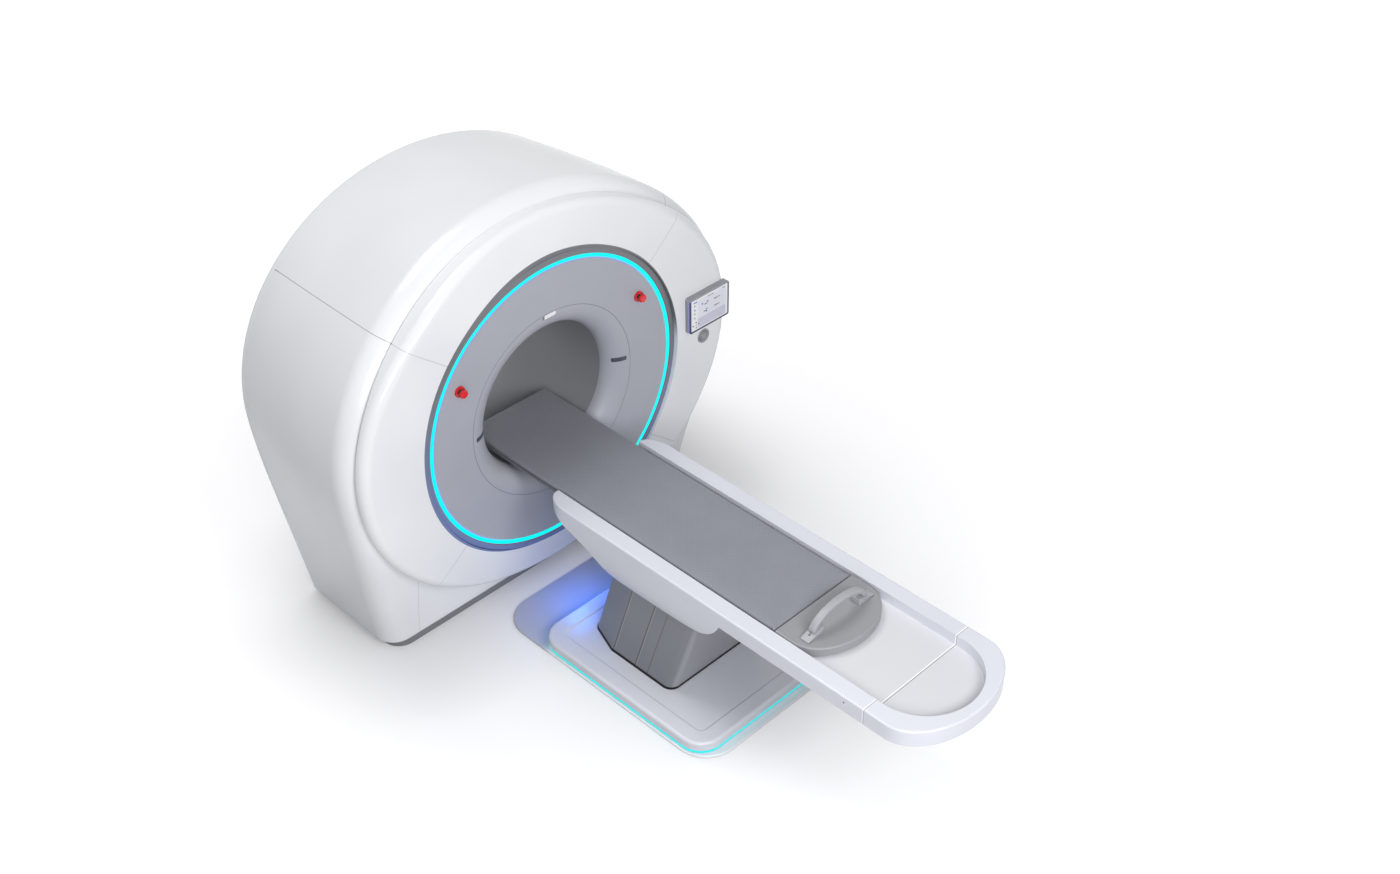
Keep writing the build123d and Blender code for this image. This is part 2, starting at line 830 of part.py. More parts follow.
def ledge_top():
    """Height of the ledges that the tray and the beams hang from."""
    return tray_top() - tray_wall - seat


def chassis_low():
    return ledge_top() - beam_height


def cap_plan(inset, half_width, end, rounding):
    """Half round that closes the table at the head end."""
    start = cap_seam - seat
    turn = end + rounding
    across = half_width - inset
    sides = Polyline((-across, turn), (-across, start), (across, start), (across, turn))
    return make_face([sides, bow_under((0, turn), across, rounding - inset)])


def end_cap():
    low = rim_height - rim_side
    outer = cap_plan(0.0, rim_half_width, cap_end, cap_round)
    body = Pos(0, 0, low) * extrude(outer, rim_side)
    body = fillet(body.faces().sort_by(Axis.Z)[-1].edges().filter_by(Axis.X, reverse=True), rim_edge)
    for inset, level in ((0.0, ledge_top()), (tray_ledge, low)):
        opening = cap_plan(inset, rim_inner_half_width, cap_inner_end, cap_inner_round)
        body = body - Pos(0, 0, level) * extrude(opening, 2 * rim_side)
    floor_plan = cap_plan(seat, rim_inner_half_width, cap_inner_end, cap_inner_round)
    floor_piece = Pos(0, 0, tray_top() - tray_wall) * extrude(floor_plan, tray_wall - tray_rear_step)
    export_step(placed(body), "parts/end_cap.step")
    export_step(placed(floor_piece), "parts/tray_rear.step")


def tray_and_rails():
    across = rim_inner_half_width - seat
    floor = tray_top()
    tray = slab(-across, across, cap_seam, hull_tip - hull_wall, floor - tray_wall, floor)
    export_step(placed(tray), "parts/tray_front.step")
    top = floor + rail_height - slide_gap
    across = cradle_half_width - rail_margin
    for x, side in ((-across, "left"), (across, "right")):
        rail = slab(x - rail_width / 2, x + rail_width / 2, rail_front, rail_rear, floor, top)
        rail = chamfer(rail.faces().sort_by(Axis.Z)[-1].edges(), rail_edge)
        export_step(placed(rail), f"parts/guide_rail_{side}.step")


def chassis():
    """Two beams under the tray on a bridge that the lift mast carries."""
    low = chassis_low()
    rise = low - plate_thickness - plinth_height
    mast_y = middle_of(column_front, column_rear) - tan(radians(column_lean)) * rise
    beam_x = rim_inner_half_width - beam_margin
    across = beam_x + beam_width / 2
    reach = mast_half_length + bridge_margin
    hollow = Rectangle(beam_width - 2 * beam_wall, beam_height - 2 * beam_wall)
    section = Rectangle(beam_width, beam_height) - hollow
    body = slab(-across, across, mast_y - reach, mast_y + reach, low, low + bridge_thickness)
    for side in (-1, 1):
        start = Pos(side * beam_x, beam_front, middle_of(low, ledge_top()))
        beam = extrude(start * Rot(-90, 0, 0) * section, beam_rear - beam_front)
        body = body + beam
    export_step(placed(body), "parts/table_chassis.step")


def cradle_plan(near_end, inset=0.0):
    """Plan of the cradle: straight sides, cut corners and a slightly bowed far end."""
    across = cradle_half_width - inset
    far = cradle_far_end - inset
    shoulder = far - cradle_end_bow
    cut = across - cradle_corner
    bow = ThreePointArc((cut, shoulder), (0, far), (-cut, shoulder))
    left = Polyline((-cut, shoulder), (-across, shoulder - cradle_corner), (-across, near_end))
    right = Polyline((across, near_end), (across, shoulder - cradle_corner), (cut, shoulder))
    return make_face([bow, left, Line((-across, near_end), (across, near_end)), right])


def cradle():
    low = tray_top() + rail_height
    mat_low = mat_top - mat_thickness
    board = Pos(0, 0, low) * extrude(cradle_plan(mat_seam), mat_low - seat - low)
    board = chamfer(board.faces().sort_by(Axis.Z)[0].edges(), board_edge)
    mat = Pos(0, 0, mat_low) * extrude(cradle_plan(mat_seam + seat), mat_thickness)
    mat = fillet(mat.faces().sort_by(Axis.Z)[-1].edges().filter_by(Axis.X, reverse=True), mat_round)
    export_step(placed(board), "parts/cradle_board.step")
    export_step(placed(mat), "parts/mat.step")

    start = mat_seam - seat
    turn = end_tip + end_round
    across = cradle_half_width
    sides = Polyline((-across, turn), (-across, start), (across, start), (across, turn))
    plan = make_face([sides, bow_under((0, turn), across, end_round)])
    end_piece = Pos(0, 0, low) * extrude(plan, mat_top - low)
    rim = end_piece.faces().sort_by(Axis.Z)[-1].edges().filter_by(lambda e: e.center().Y < start - seat)
    end_piece = fillet(rim, mat_round)
    for x in (-1, 1):
        end_piece = end_piece - Pos(x * (handle_spread + screw_offset), handle_y, mat_top) * screw(seat)
    export_step(placed(end_piece), "parts/end_piece.step")


def screw(gap=0.0):
    """Pan-head screw that stands on Z = 0 with its shank below and its head sunk in a mount."""
    shank = Pos(0, 0, -screw_length) * cylinder_up(screw_shank_radius + gap, screw_length + screw_seat)
    head_height = mount_height if gap else screw_head_height
    head = Pos(0, 0, screw_seat) * cylinder_up(screw_head_radius + gap, head_height)
    return shank + head


def cylinder_up(radius, height):
    return extrude(Circle(radius), height)


def handle():
    """Arched handle across the end piece on two screwed mounts."""
    foot = mat_top + mount_height
    arch_line = bow_over((0, 0), handle_spread, handle_height - mount_height)
    path = Plane(origin=(0, handle_y, foot), x_dir=(1, 0, 0), z_dir=(0, -1, 0)) * arch_line
    start = Plane(origin=(handle_spread, handle_y, foot), x_dir=(1, 0, 0), z_dir=(0, 0, 1))
    section = start * Ellipse(handle_thickness / 2, handle_width / 2)
    grip = sweep(section, path=path)
    export_step(placed(grip), "parts/handle.step")
    screws = []
    for x, side in ((-1, "left"), (1, "right")):
        base = RectangleRounded(mount_length, mount_width, mount_corner)
        length = mount_length - 2 * mount_slope_length
        top = RectangleRounded(length, mount_width - 2 * mount_slope_width, mount_top_corner)
        under = Pos(x * handle_spread, handle_y, mat_top)
        block = under * loft([base, Pos(0, 0, mount_height) * top])
        at = Pos(x * (handle_spread + screw_offset), handle_y, mat_top)
        mount = block - at * screw(seat)
        screws.append(at * screw())
        export_step(placed(mount), f"parts/handle_mount_{side}.step")
    export_step(placed(Compound(children=screws)), "parts/handle_screws.step")


magnet()
bore()
rings()
front_disc()
bezel_panels()
gantry_covers()
base_frame()
rear_cover()
stop_buttons()
screen()
call_button()
table_base()
column()
mast()
hull()
end_cap()
tray_and_rails()
chassis()
cradle()
handle()
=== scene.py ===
# %% [markdown]
# This lesson dresses a hospital body scanner: a big ring with a round bore, and a table that
# slides into it. The solid model comes in first and stays where it is. It is the frame that every
# finish and every new piece is fitted to, so nothing has to be placed by eye.

# %% Load the solid model
from math import atan2, cos, pi, radians, sin

import bpy
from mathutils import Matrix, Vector


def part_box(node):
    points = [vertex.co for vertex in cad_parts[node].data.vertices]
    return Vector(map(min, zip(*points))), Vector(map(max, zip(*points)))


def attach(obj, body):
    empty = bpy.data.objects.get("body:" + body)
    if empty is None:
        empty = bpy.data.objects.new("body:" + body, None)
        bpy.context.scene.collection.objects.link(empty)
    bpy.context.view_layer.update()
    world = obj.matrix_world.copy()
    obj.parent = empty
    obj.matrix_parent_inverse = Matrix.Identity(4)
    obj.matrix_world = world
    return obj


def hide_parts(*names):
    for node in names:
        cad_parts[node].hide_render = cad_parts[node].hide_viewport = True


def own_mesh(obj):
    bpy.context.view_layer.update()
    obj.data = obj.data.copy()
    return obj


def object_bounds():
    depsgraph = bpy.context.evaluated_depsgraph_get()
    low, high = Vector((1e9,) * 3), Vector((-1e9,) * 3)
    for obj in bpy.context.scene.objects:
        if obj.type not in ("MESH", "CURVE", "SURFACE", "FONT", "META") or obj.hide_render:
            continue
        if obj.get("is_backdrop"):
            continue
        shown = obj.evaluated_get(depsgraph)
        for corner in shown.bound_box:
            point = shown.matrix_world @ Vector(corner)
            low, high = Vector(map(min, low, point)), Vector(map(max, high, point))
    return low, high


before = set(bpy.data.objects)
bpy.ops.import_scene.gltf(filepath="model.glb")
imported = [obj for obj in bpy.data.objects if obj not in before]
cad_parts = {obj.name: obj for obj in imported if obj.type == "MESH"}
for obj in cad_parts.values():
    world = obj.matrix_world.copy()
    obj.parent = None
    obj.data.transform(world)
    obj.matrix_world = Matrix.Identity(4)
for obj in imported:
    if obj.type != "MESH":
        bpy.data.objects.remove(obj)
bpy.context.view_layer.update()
bpy.context.scene.view_settings.view_transform = "Standard"

# %% [markdown]
# Many sizes can be read from the solid model instead of being typed again. The light ring gives
# the height of the bore's axis, which most patterns are measured from, and the place of the
# camera. The hull ends where the end cap begins, so its box gives the gap between the two.

# %% Read the main places from the model
MM = 0.001
ring_low, ring_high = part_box("light_ring")
bore_height = (ring_low.z + ring_high.z) / 2
ring_face = ring_low.y
hull_low, hull_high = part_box("hull")
cap_seam = hull_low.y
plinth_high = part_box("plinth")[1]
print("bore axis at height", round(bore_height, 3), "and ring face at", round(ring_face, 3))

# %% [markdown]
# The camera stands up high to the left, in front of the table's side. Its angles and lens were
# worked out from the round rings, which show as ellipses. It could be aimed by a constraint, but a
# quaternion turns it in one step and without any roll.

# %% Camera
CAMERA_TURN = radians(-45.479)
CAMERA_RISE = radians(37.104)
CAMERA_LENS = 45.67
CAMERA_SENSOR = 36
CAMERA_FROM_RING = Vector((-4.011, -4.817, 4.528))

bpy.ops.object.camera_add()
camera = bpy.context.object
camera.name = "camera"
camera.data.lens = CAMERA_LENS
camera.data.sensor_width = CAMERA_SENSOR
camera.location = Vector((0, ring_face, bore_height)) + CAMERA_FROM_RING
forward = Vector(
    (
        -sin(CAMERA_TURN) * cos(CAMERA_RISE),
        cos(CAMERA_TURN) * cos(CAMERA_RISE),
        -sin(CAMERA_RISE),
    )
)
camera.rotation_mode = "QUATERNION"
camera.rotation_quaternion = forward.to_track_quat("-Z", "Y")
camera.data.clip_end = 100
bpy.context.scene.camera = camera
print("camera at", tuple(round(v, 3) for v in camera.location))

# %% [markdown]
# Colours are easiest to name as the hex values that paint and web colours use. Blender works with
# linear light, so one function turns them. One more adds a shader node, fills in its sockets and
# hands back the output that the next node needs, because a finish is a small network of such
# steps.

# %% Colours and shader nodes
def linear(hex_colour):
    """sRGB hex such as F0F0F0 as the linear values that Blender's sockets take."""
    channels = [int(hex_colour[i : i + 2], 16) / 255 for i in (0, 2, 4)]
    bright = [c / 12.92 if c <= 0.04045 else ((c + 0.055) / 1.055) ** 2.4 for c in channels]
    return (*bright, 1.0)


def add(tree, kind, sockets=None, take=None, to=None, **settings):
    """Adds a node with values, hex colours or links in its sockets, and gives back one output."""
    node = tree.nodes.new("ShaderNode" + kind)
    for name, value in settings.items():
        setattr(node, name, value)
    for name, value in (sockets or {}).items():
        if isinstance(value, bpy.types.NodeSocket):
            tree.links.new(value, node.inputs[name])
        else:
            value = linear(value) if isinstance(value, str) else value
            node.inputs[name].default_value = value
    shown = [output for output in node.outputs if output.enabled]
    result = node.outputs[take] if take else shown[0]
    if to:
        tree.links.new(result, to)
    return result


print("red turns to", [round(c, 3) for c in linear("D8232A")])

# %% [markdown]
# Every finish starts in the same way: one Principled shader with a colour and a roughness, and the
# object coordinates for its patterns. Those are real metres here, because no piece is scaled, so a
# pattern's size can be worked out from the size that it has on the real surface.

# %% Start of a finish
def new_finish(name, colour, roughness, **more):
    """Material with one Principled shader, and the tree, the shader and the object coordinates."""
    material = bpy.data.materials.new(name)
    material.use_nodes = True
    tree = material.node_tree
    shader = tree.nodes["Principled BSDF"].inputs
    shader["Base Color"].default_value = linear(colour)
    shader["Roughness"].default_value = roughness
    for socket, value in more.items():
        shader[socket.replace("_", " ")].default_value = value
    return material, tree, shader, add(tree, "TexCoord", take="Object")


def paint_over(tree, shader, mask, colour):
    """Another colour where a mask is 1, on top of the colour that a shader has so far."""
    base = shader["Base Color"]
    under = base.links[0].from_socket if base.is_linked else tuple(base.default_value)
    ends = {"Factor": mask, "A": under, "B": colour}
    add(tree, "Mix", ends, to=base, data_type="RGBA")


print("finishes can be started and painted over")

# %% [markdown]
# Panel gaps, grooves and printed bands are all stripes: places where some distance lies between
# two values. Two soft steps make such a stripe. The distance can be the one along a direction,
# which a dot product gives, or the one from a line along the bore, which is the length of a vector
# that has been moved and flattened. Painted stripes keep the mesh light where a real gap is finer
# than a pixel.

# %% Stripes by distance
def stripe(tree, distance, start, end, fade):
    """1 where the distance lies between two values, falling softly to 0 on both sides."""
    steps = []
    for edge, low, high in ((start, 0.0, 1.0), (end, 1.0, 0.0)):
        ends = {0: distance, 1: edge - fade / 2, 2: edge + fade / 2, 3: low, 4: high}
        steps.append(add(tree, "MapRange", ends, interpolation_type="SMOOTHSTEP"))
    return add(tree, "Math", {0: steps[0], 1: steps[1]}, operation="MULTIPLY")


def band(tree, place, direction, start, end, fade):
    """Stripe between two distances along a direction, in metres."""
    along = add(tree, "VectorMath", {0: place, 1: direction}, operation="DOT_PRODUCT")
    return stripe(tree, along, start, end, fade)


def from_line(tree, place, across, height):
    """Distance from a line that runs along the bore at one place and height, in metres."""
    moved = {"Vector": place, "Location": (-across, 0, -height), "Scale": (1, 0, 1)}
    flat = add(tree, "Mapping", moved)
    return add(tree, "VectorMath", {0: flat}, operation="LENGTH")


print("stripes are ready")

# %% [markdown]
# The covers are glass-fibre mouldings, sprayed with white gloss polyurethane and polished. A plain
# white gloss would look like a computer's, so two things are added that a sprayer knows. One is
# the faint waviness called orange peel, about 9 mm from crest to crest. The other is that broad
# areas differ a little in tone where the filler underneath was sanded.

# %% Sprayed gloss paint on the covers
SEAM_WIDTH = 2.4 * MM
SEAM_COLOUR = "8E9197"
PEEL = 9 * MM
SANDED_AREA = 420 * MM


# Polished spray paint: a clear, slightly soft reflection that wavers a little.
def sprayed_gloss(name, colour, seams=(), shade="DCDEE4", seam_colour=SEAM_COLOUR):
    """Sprayed and polished paint, a little uneven in tone, with soft lines where panels meet."""
    material, tree, shader, place = new_finish(
        name, colour, 0.24, Coat_Weight=0.15, Coat_Roughness=0.07, Specular_IOR_Level=0.3
    )
    peel = add(tree, "TexNoise", {"Vector": place, "Scale": 1 / PEEL, "Detail": 2.0})
    bump = {"Height": peel, "Distance": 0.02 * MM, "Strength": 1.0}
    add(tree, "Bump", bump, to=shader["Normal"])
    broad = add(tree, "TexNoise", {"Vector": place, "Scale": 1 / SANDED_AREA, "Detail": 1.0})
    tone = add(tree, "MapRange", {0: broad, 1: 0.35, 2: 0.75, 3: 0.0, 4: 0.35})
    paint_over(tree, shader, tone, shade)
    half = SEAM_WIDTH / 2
    for direction, offset in seams:
        line = band(tree, place, direction, offset - half, offset + half, SEAM_WIDTH)
        paint_over(tree, shader, line, seam_colour)
    return material, tree, shader, place


print("seams are drawn", round(2 * SEAM_WIDTH / MM, 1), "mm wide at most")

# %% [markdown]
# Smaller plastic parts are injection moulded, and the mould is sparked so that they come out satin
# with a fine even grain. It could be left to the roughness alone, but then a close look shows a
# dead surface, so the grain is a bump. Handling leaves broad patches that differ in gloss and
# tone.

# %% Moulded plastics
HANDLED_PATCH = 150 * MM


# The real grain is about 0.5 mm, which is too fine to show from here, so it is drawn 2.5 mm wide or
# more. It takes the edge off reflections.
def moulded(name, colour, roughness, grain_mm=2.5, depth_mm=0.05, cloud=0.05, **more):
    """Moulded plastic with a fine grain and slightly uneven gloss and tone."""
    material, tree, shader, place = new_finish(name, colour, roughness, **more)
    grain = add(tree, "TexNoise", {"Vector": place, "Scale": 1 / (grain_mm * MM), "Detail": 2.0})
    bump = {"Height": grain, "Distance": depth_mm * MM, "Strength": 1.0}
    add(tree, "Bump", bump, to=shader["Normal"])
    broad = add(tree, "TexNoise", {"Vector": place, "Scale": 1 / HANDLED_PATCH, "Detail": 3.0})
    gloss = {0: broad, 1: 0.3, 2: 0.7, 3: roughness - cloud, 4: roughness + cloud}
    add(tree, "MapRange", gloss, to=shader["Roughness"])
    tone = add(tree, "MapRange", {0: broad, 1: 0.3, 2: 0.7, 3: 0.98, 4: 1.01})
    tinted = {"Color": colour, "Value": tone}
    add(tree, "HueSaturation", tinted, to=shader["Base Color"])
    return material, tree, shader, place


print("moulded finishes are ready")

# %% [markdown]
# Metals show how they were made. Rolled and brushed steel has long fine lines, so its noise is
# stretched along the piece. Powder-coated steel is even and dull, with the pebbled skin that
# powder gets when it melts in the oven. Both could be photographs, but noise can be set in
# millimetres.

# %% Metals
RUBBED_PATCH = 90 * MM


# Real brush lines are about 0.1 mm apart and are drawn 0.8 mm apart to show. They draw a reflection
# out across the piece.
def brushed(name, colour, roughness, stretch=(1, 1, 0.03), line_mm=0.8):
    """Metal brushed along the direction with the smallest number in stretch."""
    material, tree, shader, place = new_finish(name, colour, roughness, Metallic=1.0)
    drawn = add(tree, "Mapping", {"Vector": place, "Scale": stretch})
    lines = add(tree, "TexNoise", {"Vector": drawn, "Scale": 1 / (line_mm * MM), "Detail": 3.0})
    bump = {"Height": lines, "Distance": 0.03 * MM, "Strength": 1.0}
    add(tree, "Bump", bump, to=shader["Normal"])
    streaks = {0: lines, 1: 0.3, 2: 0.7, 3: roughness - 0.08, 4: roughness + 0.08}
    add(tree, "MapRange", streaks, to=shader["Roughness"])
    return material


# Powder coat has pebbles about 1.5 mm wide. They break a highlight up into a soft shimmer.
def powder_coated(name, colour, roughness):
    """Powder-coated steel with a pebbled skin and a little wear."""
    material, tree, shader, place = new_finish(name, colour, roughness)
    pebbles = add(tree, "TexNoise", {"Vector": place, "Scale": 1 / (1.5 * MM), "Detail": 3.0})
    bump = {"Height": pebbles, "Distance": 0.06 * MM, "Strength": 1.0}
    add(tree, "Bump", bump, to=shader["Normal"])
    broad = add(tree, "TexNoise", {"Vector": place, "Scale": 1 / RUBBED_PATCH, "Detail": 2.0})
    worn = {0: broad, 1: 0.3, 2: 0.7, 3: roughness - 0.06, 4: roughness + 0.06}
    add(tree, "MapRange", worn, to=shader["Roughness"])
    return material, tree, shader, place


print("metal finishes are ready")

# %% [markdown]
# A finish is given to a solid by name. The bezel and the shell behind it are parted by two planes
# through the bore's axis, and the lower front cover by two upright planes. A plane is written as a
# direction and a distance along it, which is what a painted seam needs.

# %% Seams between the covers
def dress(material, *names):
    """Gives a finish to solids of the model."""
    for name in names:
        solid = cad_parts[name]
        solid.data.materials.clear()
        solid.data.materials.append(material)
    print(material.name, "on", ", ".join(names))


def radial_seam(angle):
    """Plane through the bore's axis at an angle, as a direction and a distance along it."""
    turn = radians(angle)
    return (sin(turn), 0, -cos(turn)), -cos(turn) * bore_height


right_seam = radial_seam(40)
left_seam = radial_seam(140)
foot_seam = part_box("front_lower_cover")[1].x
print("the lower front cover ends", round(foot_seam, 3), "m from the middle")

# %% [markdown]
# The panels that meet at a seam each get only the seams that they have, because a plane through
# the axis cuts the far side of the ring as well. Each panel could be split further for its seams,
# but the solids already end there, and the paint only has to darken their thin edges.

# %% Dress the shell covers
WHITE = "EDEEF1"
left_foot = ((1, 0, 0), -foot_seam)
right_foot = ((1, 0, 0), foot_seam)
for name, seams, covers in (
    ("gloss_paint_top", [right_seam, left_seam], ["top_cover"]),
    ("gloss_paint_left", [left_seam, left_foot], ["side_cover_left"]),
    ("gloss_paint_right", [right_seam, right_foot], ["side_cover_right"]),
    ("gloss_paint_plain", [], ["front_lower_cover", "rear_cover"]),
):
    dress(sprayed_gloss(name, WHITE, seams)[0], *covers)

# %% [markdown]
# The bezel's opening is edged by a grey flange that holds the trim and the light ring. It is
# painted, as the bezel's panels already have the step. Its circle lies a little off the bore's
# axis, so that the flange is broadest at the top left. Down by the floor the flange is painted
# blue, a painted reflection of the cyan light.

# %% Dress the bezel
FLANGE_GREY = "74767B"
PAINTED_BLUE_REFLECTION = "7484B4"
FLANGE_ACROSS = -9 * MM
FLANGE_UP = 8 * MM
FLANGE_RADIUS = 728 * MM
BLUE_FADE = 900 * MM
blue_below = bore_height - 100 * MM

bezel, tree, shader, place = sprayed_gloss(
    "gloss_paint_bezel", WHITE, [right_seam, left_seam], seam_colour="BFC1C7"
)
reach = from_line(tree, place, FLANGE_ACROSS, bore_height + FLANGE_UP)
flange = stripe(tree, reach, 0.5, FLANGE_RADIUS, 2 * MM)
paint_over(tree, shader, flange, FLANGE_GREY)
# Painted reflection: the flange's lower side is tinted blue, as if it mirrored the cyan light.
low_side = band(tree, place, (0.25, 0, 1), -1, blue_below, BLUE_FADE)
low_side = add(tree, "Math", {0: low_side, 1: flange}, operation="MULTIPLY")
paint_over(tree, shader, low_side, PAINTED_BLUE_REFLECTION)
dress(bezel, "bezel_top", "bezel_left", "bezel_right", "bezel_bottom")

# %% [markdown]
# Two parts of the scanner are lit: the ring round the disc and the strip round the plinth. Both
# are opal acrylic with lamps behind. Real lamps inside would need glass that scatters light, which
# is slow and noisy, so the acrylic gives off its colour itself.

# %% Lit acrylic
# Opal acrylic: an even glow to its very edge, with hardly any reflection on top.
def opal_acrylic(name, glow):
    """Frosted acrylic lit from behind."""
    material, tree, shader, place = new_finish(
        name, "081416", 0.5, Emission_Color=linear(glow), Emission_Strength=1.0
    )
    shader["Specular IOR Level"].default_value = 0.1
    grain = add(tree, "TexNoise", {"Vector": place, "Scale": 1 / (3 * MM), "Detail": 2.0})
    bump = {"Height": grain, "Distance": 0.03 * MM, "Strength": 1.0}
    add(tree, "Bump", bump, to=shader["Normal"])
    return material, tree, shader, place


dress(opal_acrylic("lit_opal_acrylic_strip", "00F6F6")[0], "plinth_light")

# %% [markdown]
# The front disc and the flared mouth of the bore are satin ABS. They meet in a fine round gap,
# which shows as a thin grey line. It is painted on both, so that it is closed from every side.

# %% Dress the disc and the flare
DISC_GREY = "ABADB7"
SLOT_RIM = "33353D"
SLOT_INNER, SLOT_OUTER = 371 * MM, 433 * MM
SLOT_HALF = 11 * MM
flare_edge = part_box("bore_flare")[1].x
window_low, window_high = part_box("laser_window_right")
slot_height = (window_low.z + window_high.z) / 2


# Satin ABS: a broad dull highlight that shows how the flare is curved.
def disc_abs(name):
    """Grey satin ABS with the round gap between the disc and the flare."""
    material, tree, shader, place = moulded(name, DISC_GREY, 0.42)
    reach = from_line(tree, place, 0, bore_height)
    gap = stripe(tree, reach, flare_edge - 1 * MM, flare_edge + 1 * MM, 1.5 * MM)
    paint_over(tree, shader, gap, "5F6169")
    return material, tree, shader, place


dress(disc_abs("satin_abs_disc")[0], "front_disc", "rear_flare")
flare, tree, shader, place = disc_abs("satin_abs_flare")
sides = add(tree, "SeparateXYZ", {0: place}, take="X")
across = add(tree, "Math", {0: sides}, operation="ABSOLUTE")
wide = stripe(tree, across, SLOT_INNER, SLOT_OUTER, 5 * MM)
tall = band(tree, place, (0, 0, 1), slot_height - SLOT_HALF, slot_height + SLOT_HALF, 3 * MM)
rim = add(tree, "Math", {0: wide, 1: tall}, operation="MULTIPLY")
paint_over(tree, shader, rim, SLOT_RIM)
dress(flare, "bore_flare")

# %% [markdown]
# The positioning lasers shine out of two slots, one on each side. Each has a smoked acrylic window
# that reaches further than the slot, so its ends are painted like the rim and the disc. The marker
# light over the bore is opal, with a dark end where its holder shows.

# %% Dress the windows, the marker and the liner
# Smoked acrylic: dark, smooth and a little blue.
smoked, tree, shader, place = moulded("smoked_acrylic", "4E5466", 0.12, depth_mm=0.01)
sides = add(tree, "SeparateXYZ", {0: place}, take="X")
across = add(tree, "Math", {0: sides}, operation="ABSOLUTE")
for start, end, colour in (
    (SLOT_OUTER - 4 * MM, 1, SLOT_RIM),
    (0, SLOT_INNER + 4 * MM, SLOT_RIM),
    (SLOT_OUTER, 1, DISC_GREY),
    (0, SLOT_INNER, DISC_GREY),
):
    paint_over(tree, shader, stripe(tree, across, start, end, 2 * MM), colour)
dress(smoked, "laser_window_left", "laser_window_right")

# Opal acrylic that is unlit: a clean white spot on the grey.
marker, tree, shader, place = moulded("opal_marker", "F2F2F6", 0.3)
holder = band(tree, place, (1, 0, 0), -60 * MM, -26 * MM, 2 * MM)
paint_over(tree, shader, holder, "70737C")
dress(marker, "marker_light")

# Glass fibre with a dull coat: darker and softer than the flare, a painted shade so the bore looks
# deep.
dress(moulded("satin_grp_liner", "8C8E93", 0.48, grain_mm=4)[0], "bore_liner")

# %% [markdown]
# Inside the covers are the parts that only show when the scanner is opened: a steel vessel with
# its cold head, coils cast in epoxy, feet and a painted base frame. They are dressed like the
# rest, so that the part still looks right when a cover is taken off.

# %% Dress the parts inside the covers
# Dark powder coat: frames that draw no attention.
dress(powder_coated("dark_powder_coat", "4B4C50", 0.5)[0],
      "column_frame", "magnet_foot_left", "magnet_foot_right")
# Grey powder coat: the dark strip that shows under the covers.
dress(powder_coated("grey_powder_coat", "77797D", 0.5)[0], "base_frame")
# Brushed stainless steel: bright, with a reflection drawn out across the brushing.
dress(brushed("brushed_stainless", "B9BABD", 0.32), "magnet_vessel", "cold_head",
      "mast_sleeve", "mast_ram", "guide_rail_left", "guide_rail_right")
# Brushed aluminium: paler and duller than the steel.
dress(brushed("brushed_aluminium", "C8C9CC", 0.35, (1, 0.03, 1)), "table_chassis")
# Cast epoxy: amber and slightly uneven, as resin that was poured round windings.
dress(moulded("cast_epoxy", "A5864F", 0.5, grain_mm=6, depth_mm=0.2)[0],
      "gradient_coil", "body_coil")

# %% [markdown]
# The table stands on a powder-coated plate. The plate is a cool grey at the scanner's end and
# nearly white round the plinth. Both tones are painted light and shade: the grey stands for the
# shade under the gantry, and the white lightens the shade under the table. The plinth is satin ABS,
# and the lit strip round it spills a little of its cyan on the edges beside it. The spill is
# painted, as the strip is too narrow to light much by itself.

# %% Dress the plate and the plinth
# White powder coat: a pale floor plate that takes the blue of the lamp above it, painted light
# round the plinth and left a shaded grey at the scanner's end.
plate, tree, shader, place = powder_coated("white_powder_coat", "B4B8C8", 0.35)
painted_light_ahead = band(tree, place, (0, 1, 0), -9, plinth_high.y - 60 * MM, 80 * MM)
paint_over(tree, shader, painted_light_ahead, "E4E6EC")
dress(plate, "floor_plate")

# Satin ABS in white: softer than the gloss of the covers, so its rounded edge reads broadly.
plinth, tree, shader, place = moulded("satin_abs_plinth", "D6D8E0", 0.25, cloud=0.0)
strip_low, strip_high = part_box("plinth_light")
spill = band(tree, place, (0, 0, 1), strip_low.z - 3 * MM, strip_high.z + 3 * MM, 3 * MM)
paint_over(tree, shader, spill, "60F0F6")
dress(plinth, "plinth")

# %% [markdown]
# The column is clad in grey ABS panels. They lean back, and the grooves between them lean too, so
# a groove is a stripe along a direction that is turned by the same lean. Each has a painted warm
# shadow and a painted highlight on the edge next to it. A painted shade runs round the foot, where
# the column dips into the plinth.

# %% Dress the column
COLUMN_GREY = "7F8288"
LEAN = 0.3153
GROOVES = (-1.0065, -1.1425, -1.2185)
leaning = (0, 1, LEAN)
plinth_top = plinth_high.z


def painted_foot_shade(tree, shader, place):
    """Painted shade in the gap round the foot of the column."""
    gap = band(tree, place, (0, 0, 1), 0, plinth_top + 6 * MM, 4 * MM)
    paint_over(tree, shader, gap, "232427")


# Satin ABS in mid grey: broad soft highlights on flat panels.
column, tree, shader, place = moulded("satin_abs_column", COLUMN_GREY, 0.4)
for groove in GROOVES:
    # Painted shadow in each groove and a painted highlight on its edge.
    start = groove + LEAN * plinth_top
    shadow = band(tree, place, leaning, start - 3 * MM, start + 3 * MM, 3 * MM)
    paint_over(tree, shader, shadow, "5B554F")
    lit_edge = band(tree, place, leaning, start - 9 * MM, start - 4 * MM, 3 * MM)
    paint_over(tree, shader, lit_edge, "94979C")
painted_foot_shade(tree, shader, place)
dress(column, "column_rear_cover", "column_panel_left_rear", "column_panel_left_front",
      "column_panel_right_rear", "column_panel_right_front")
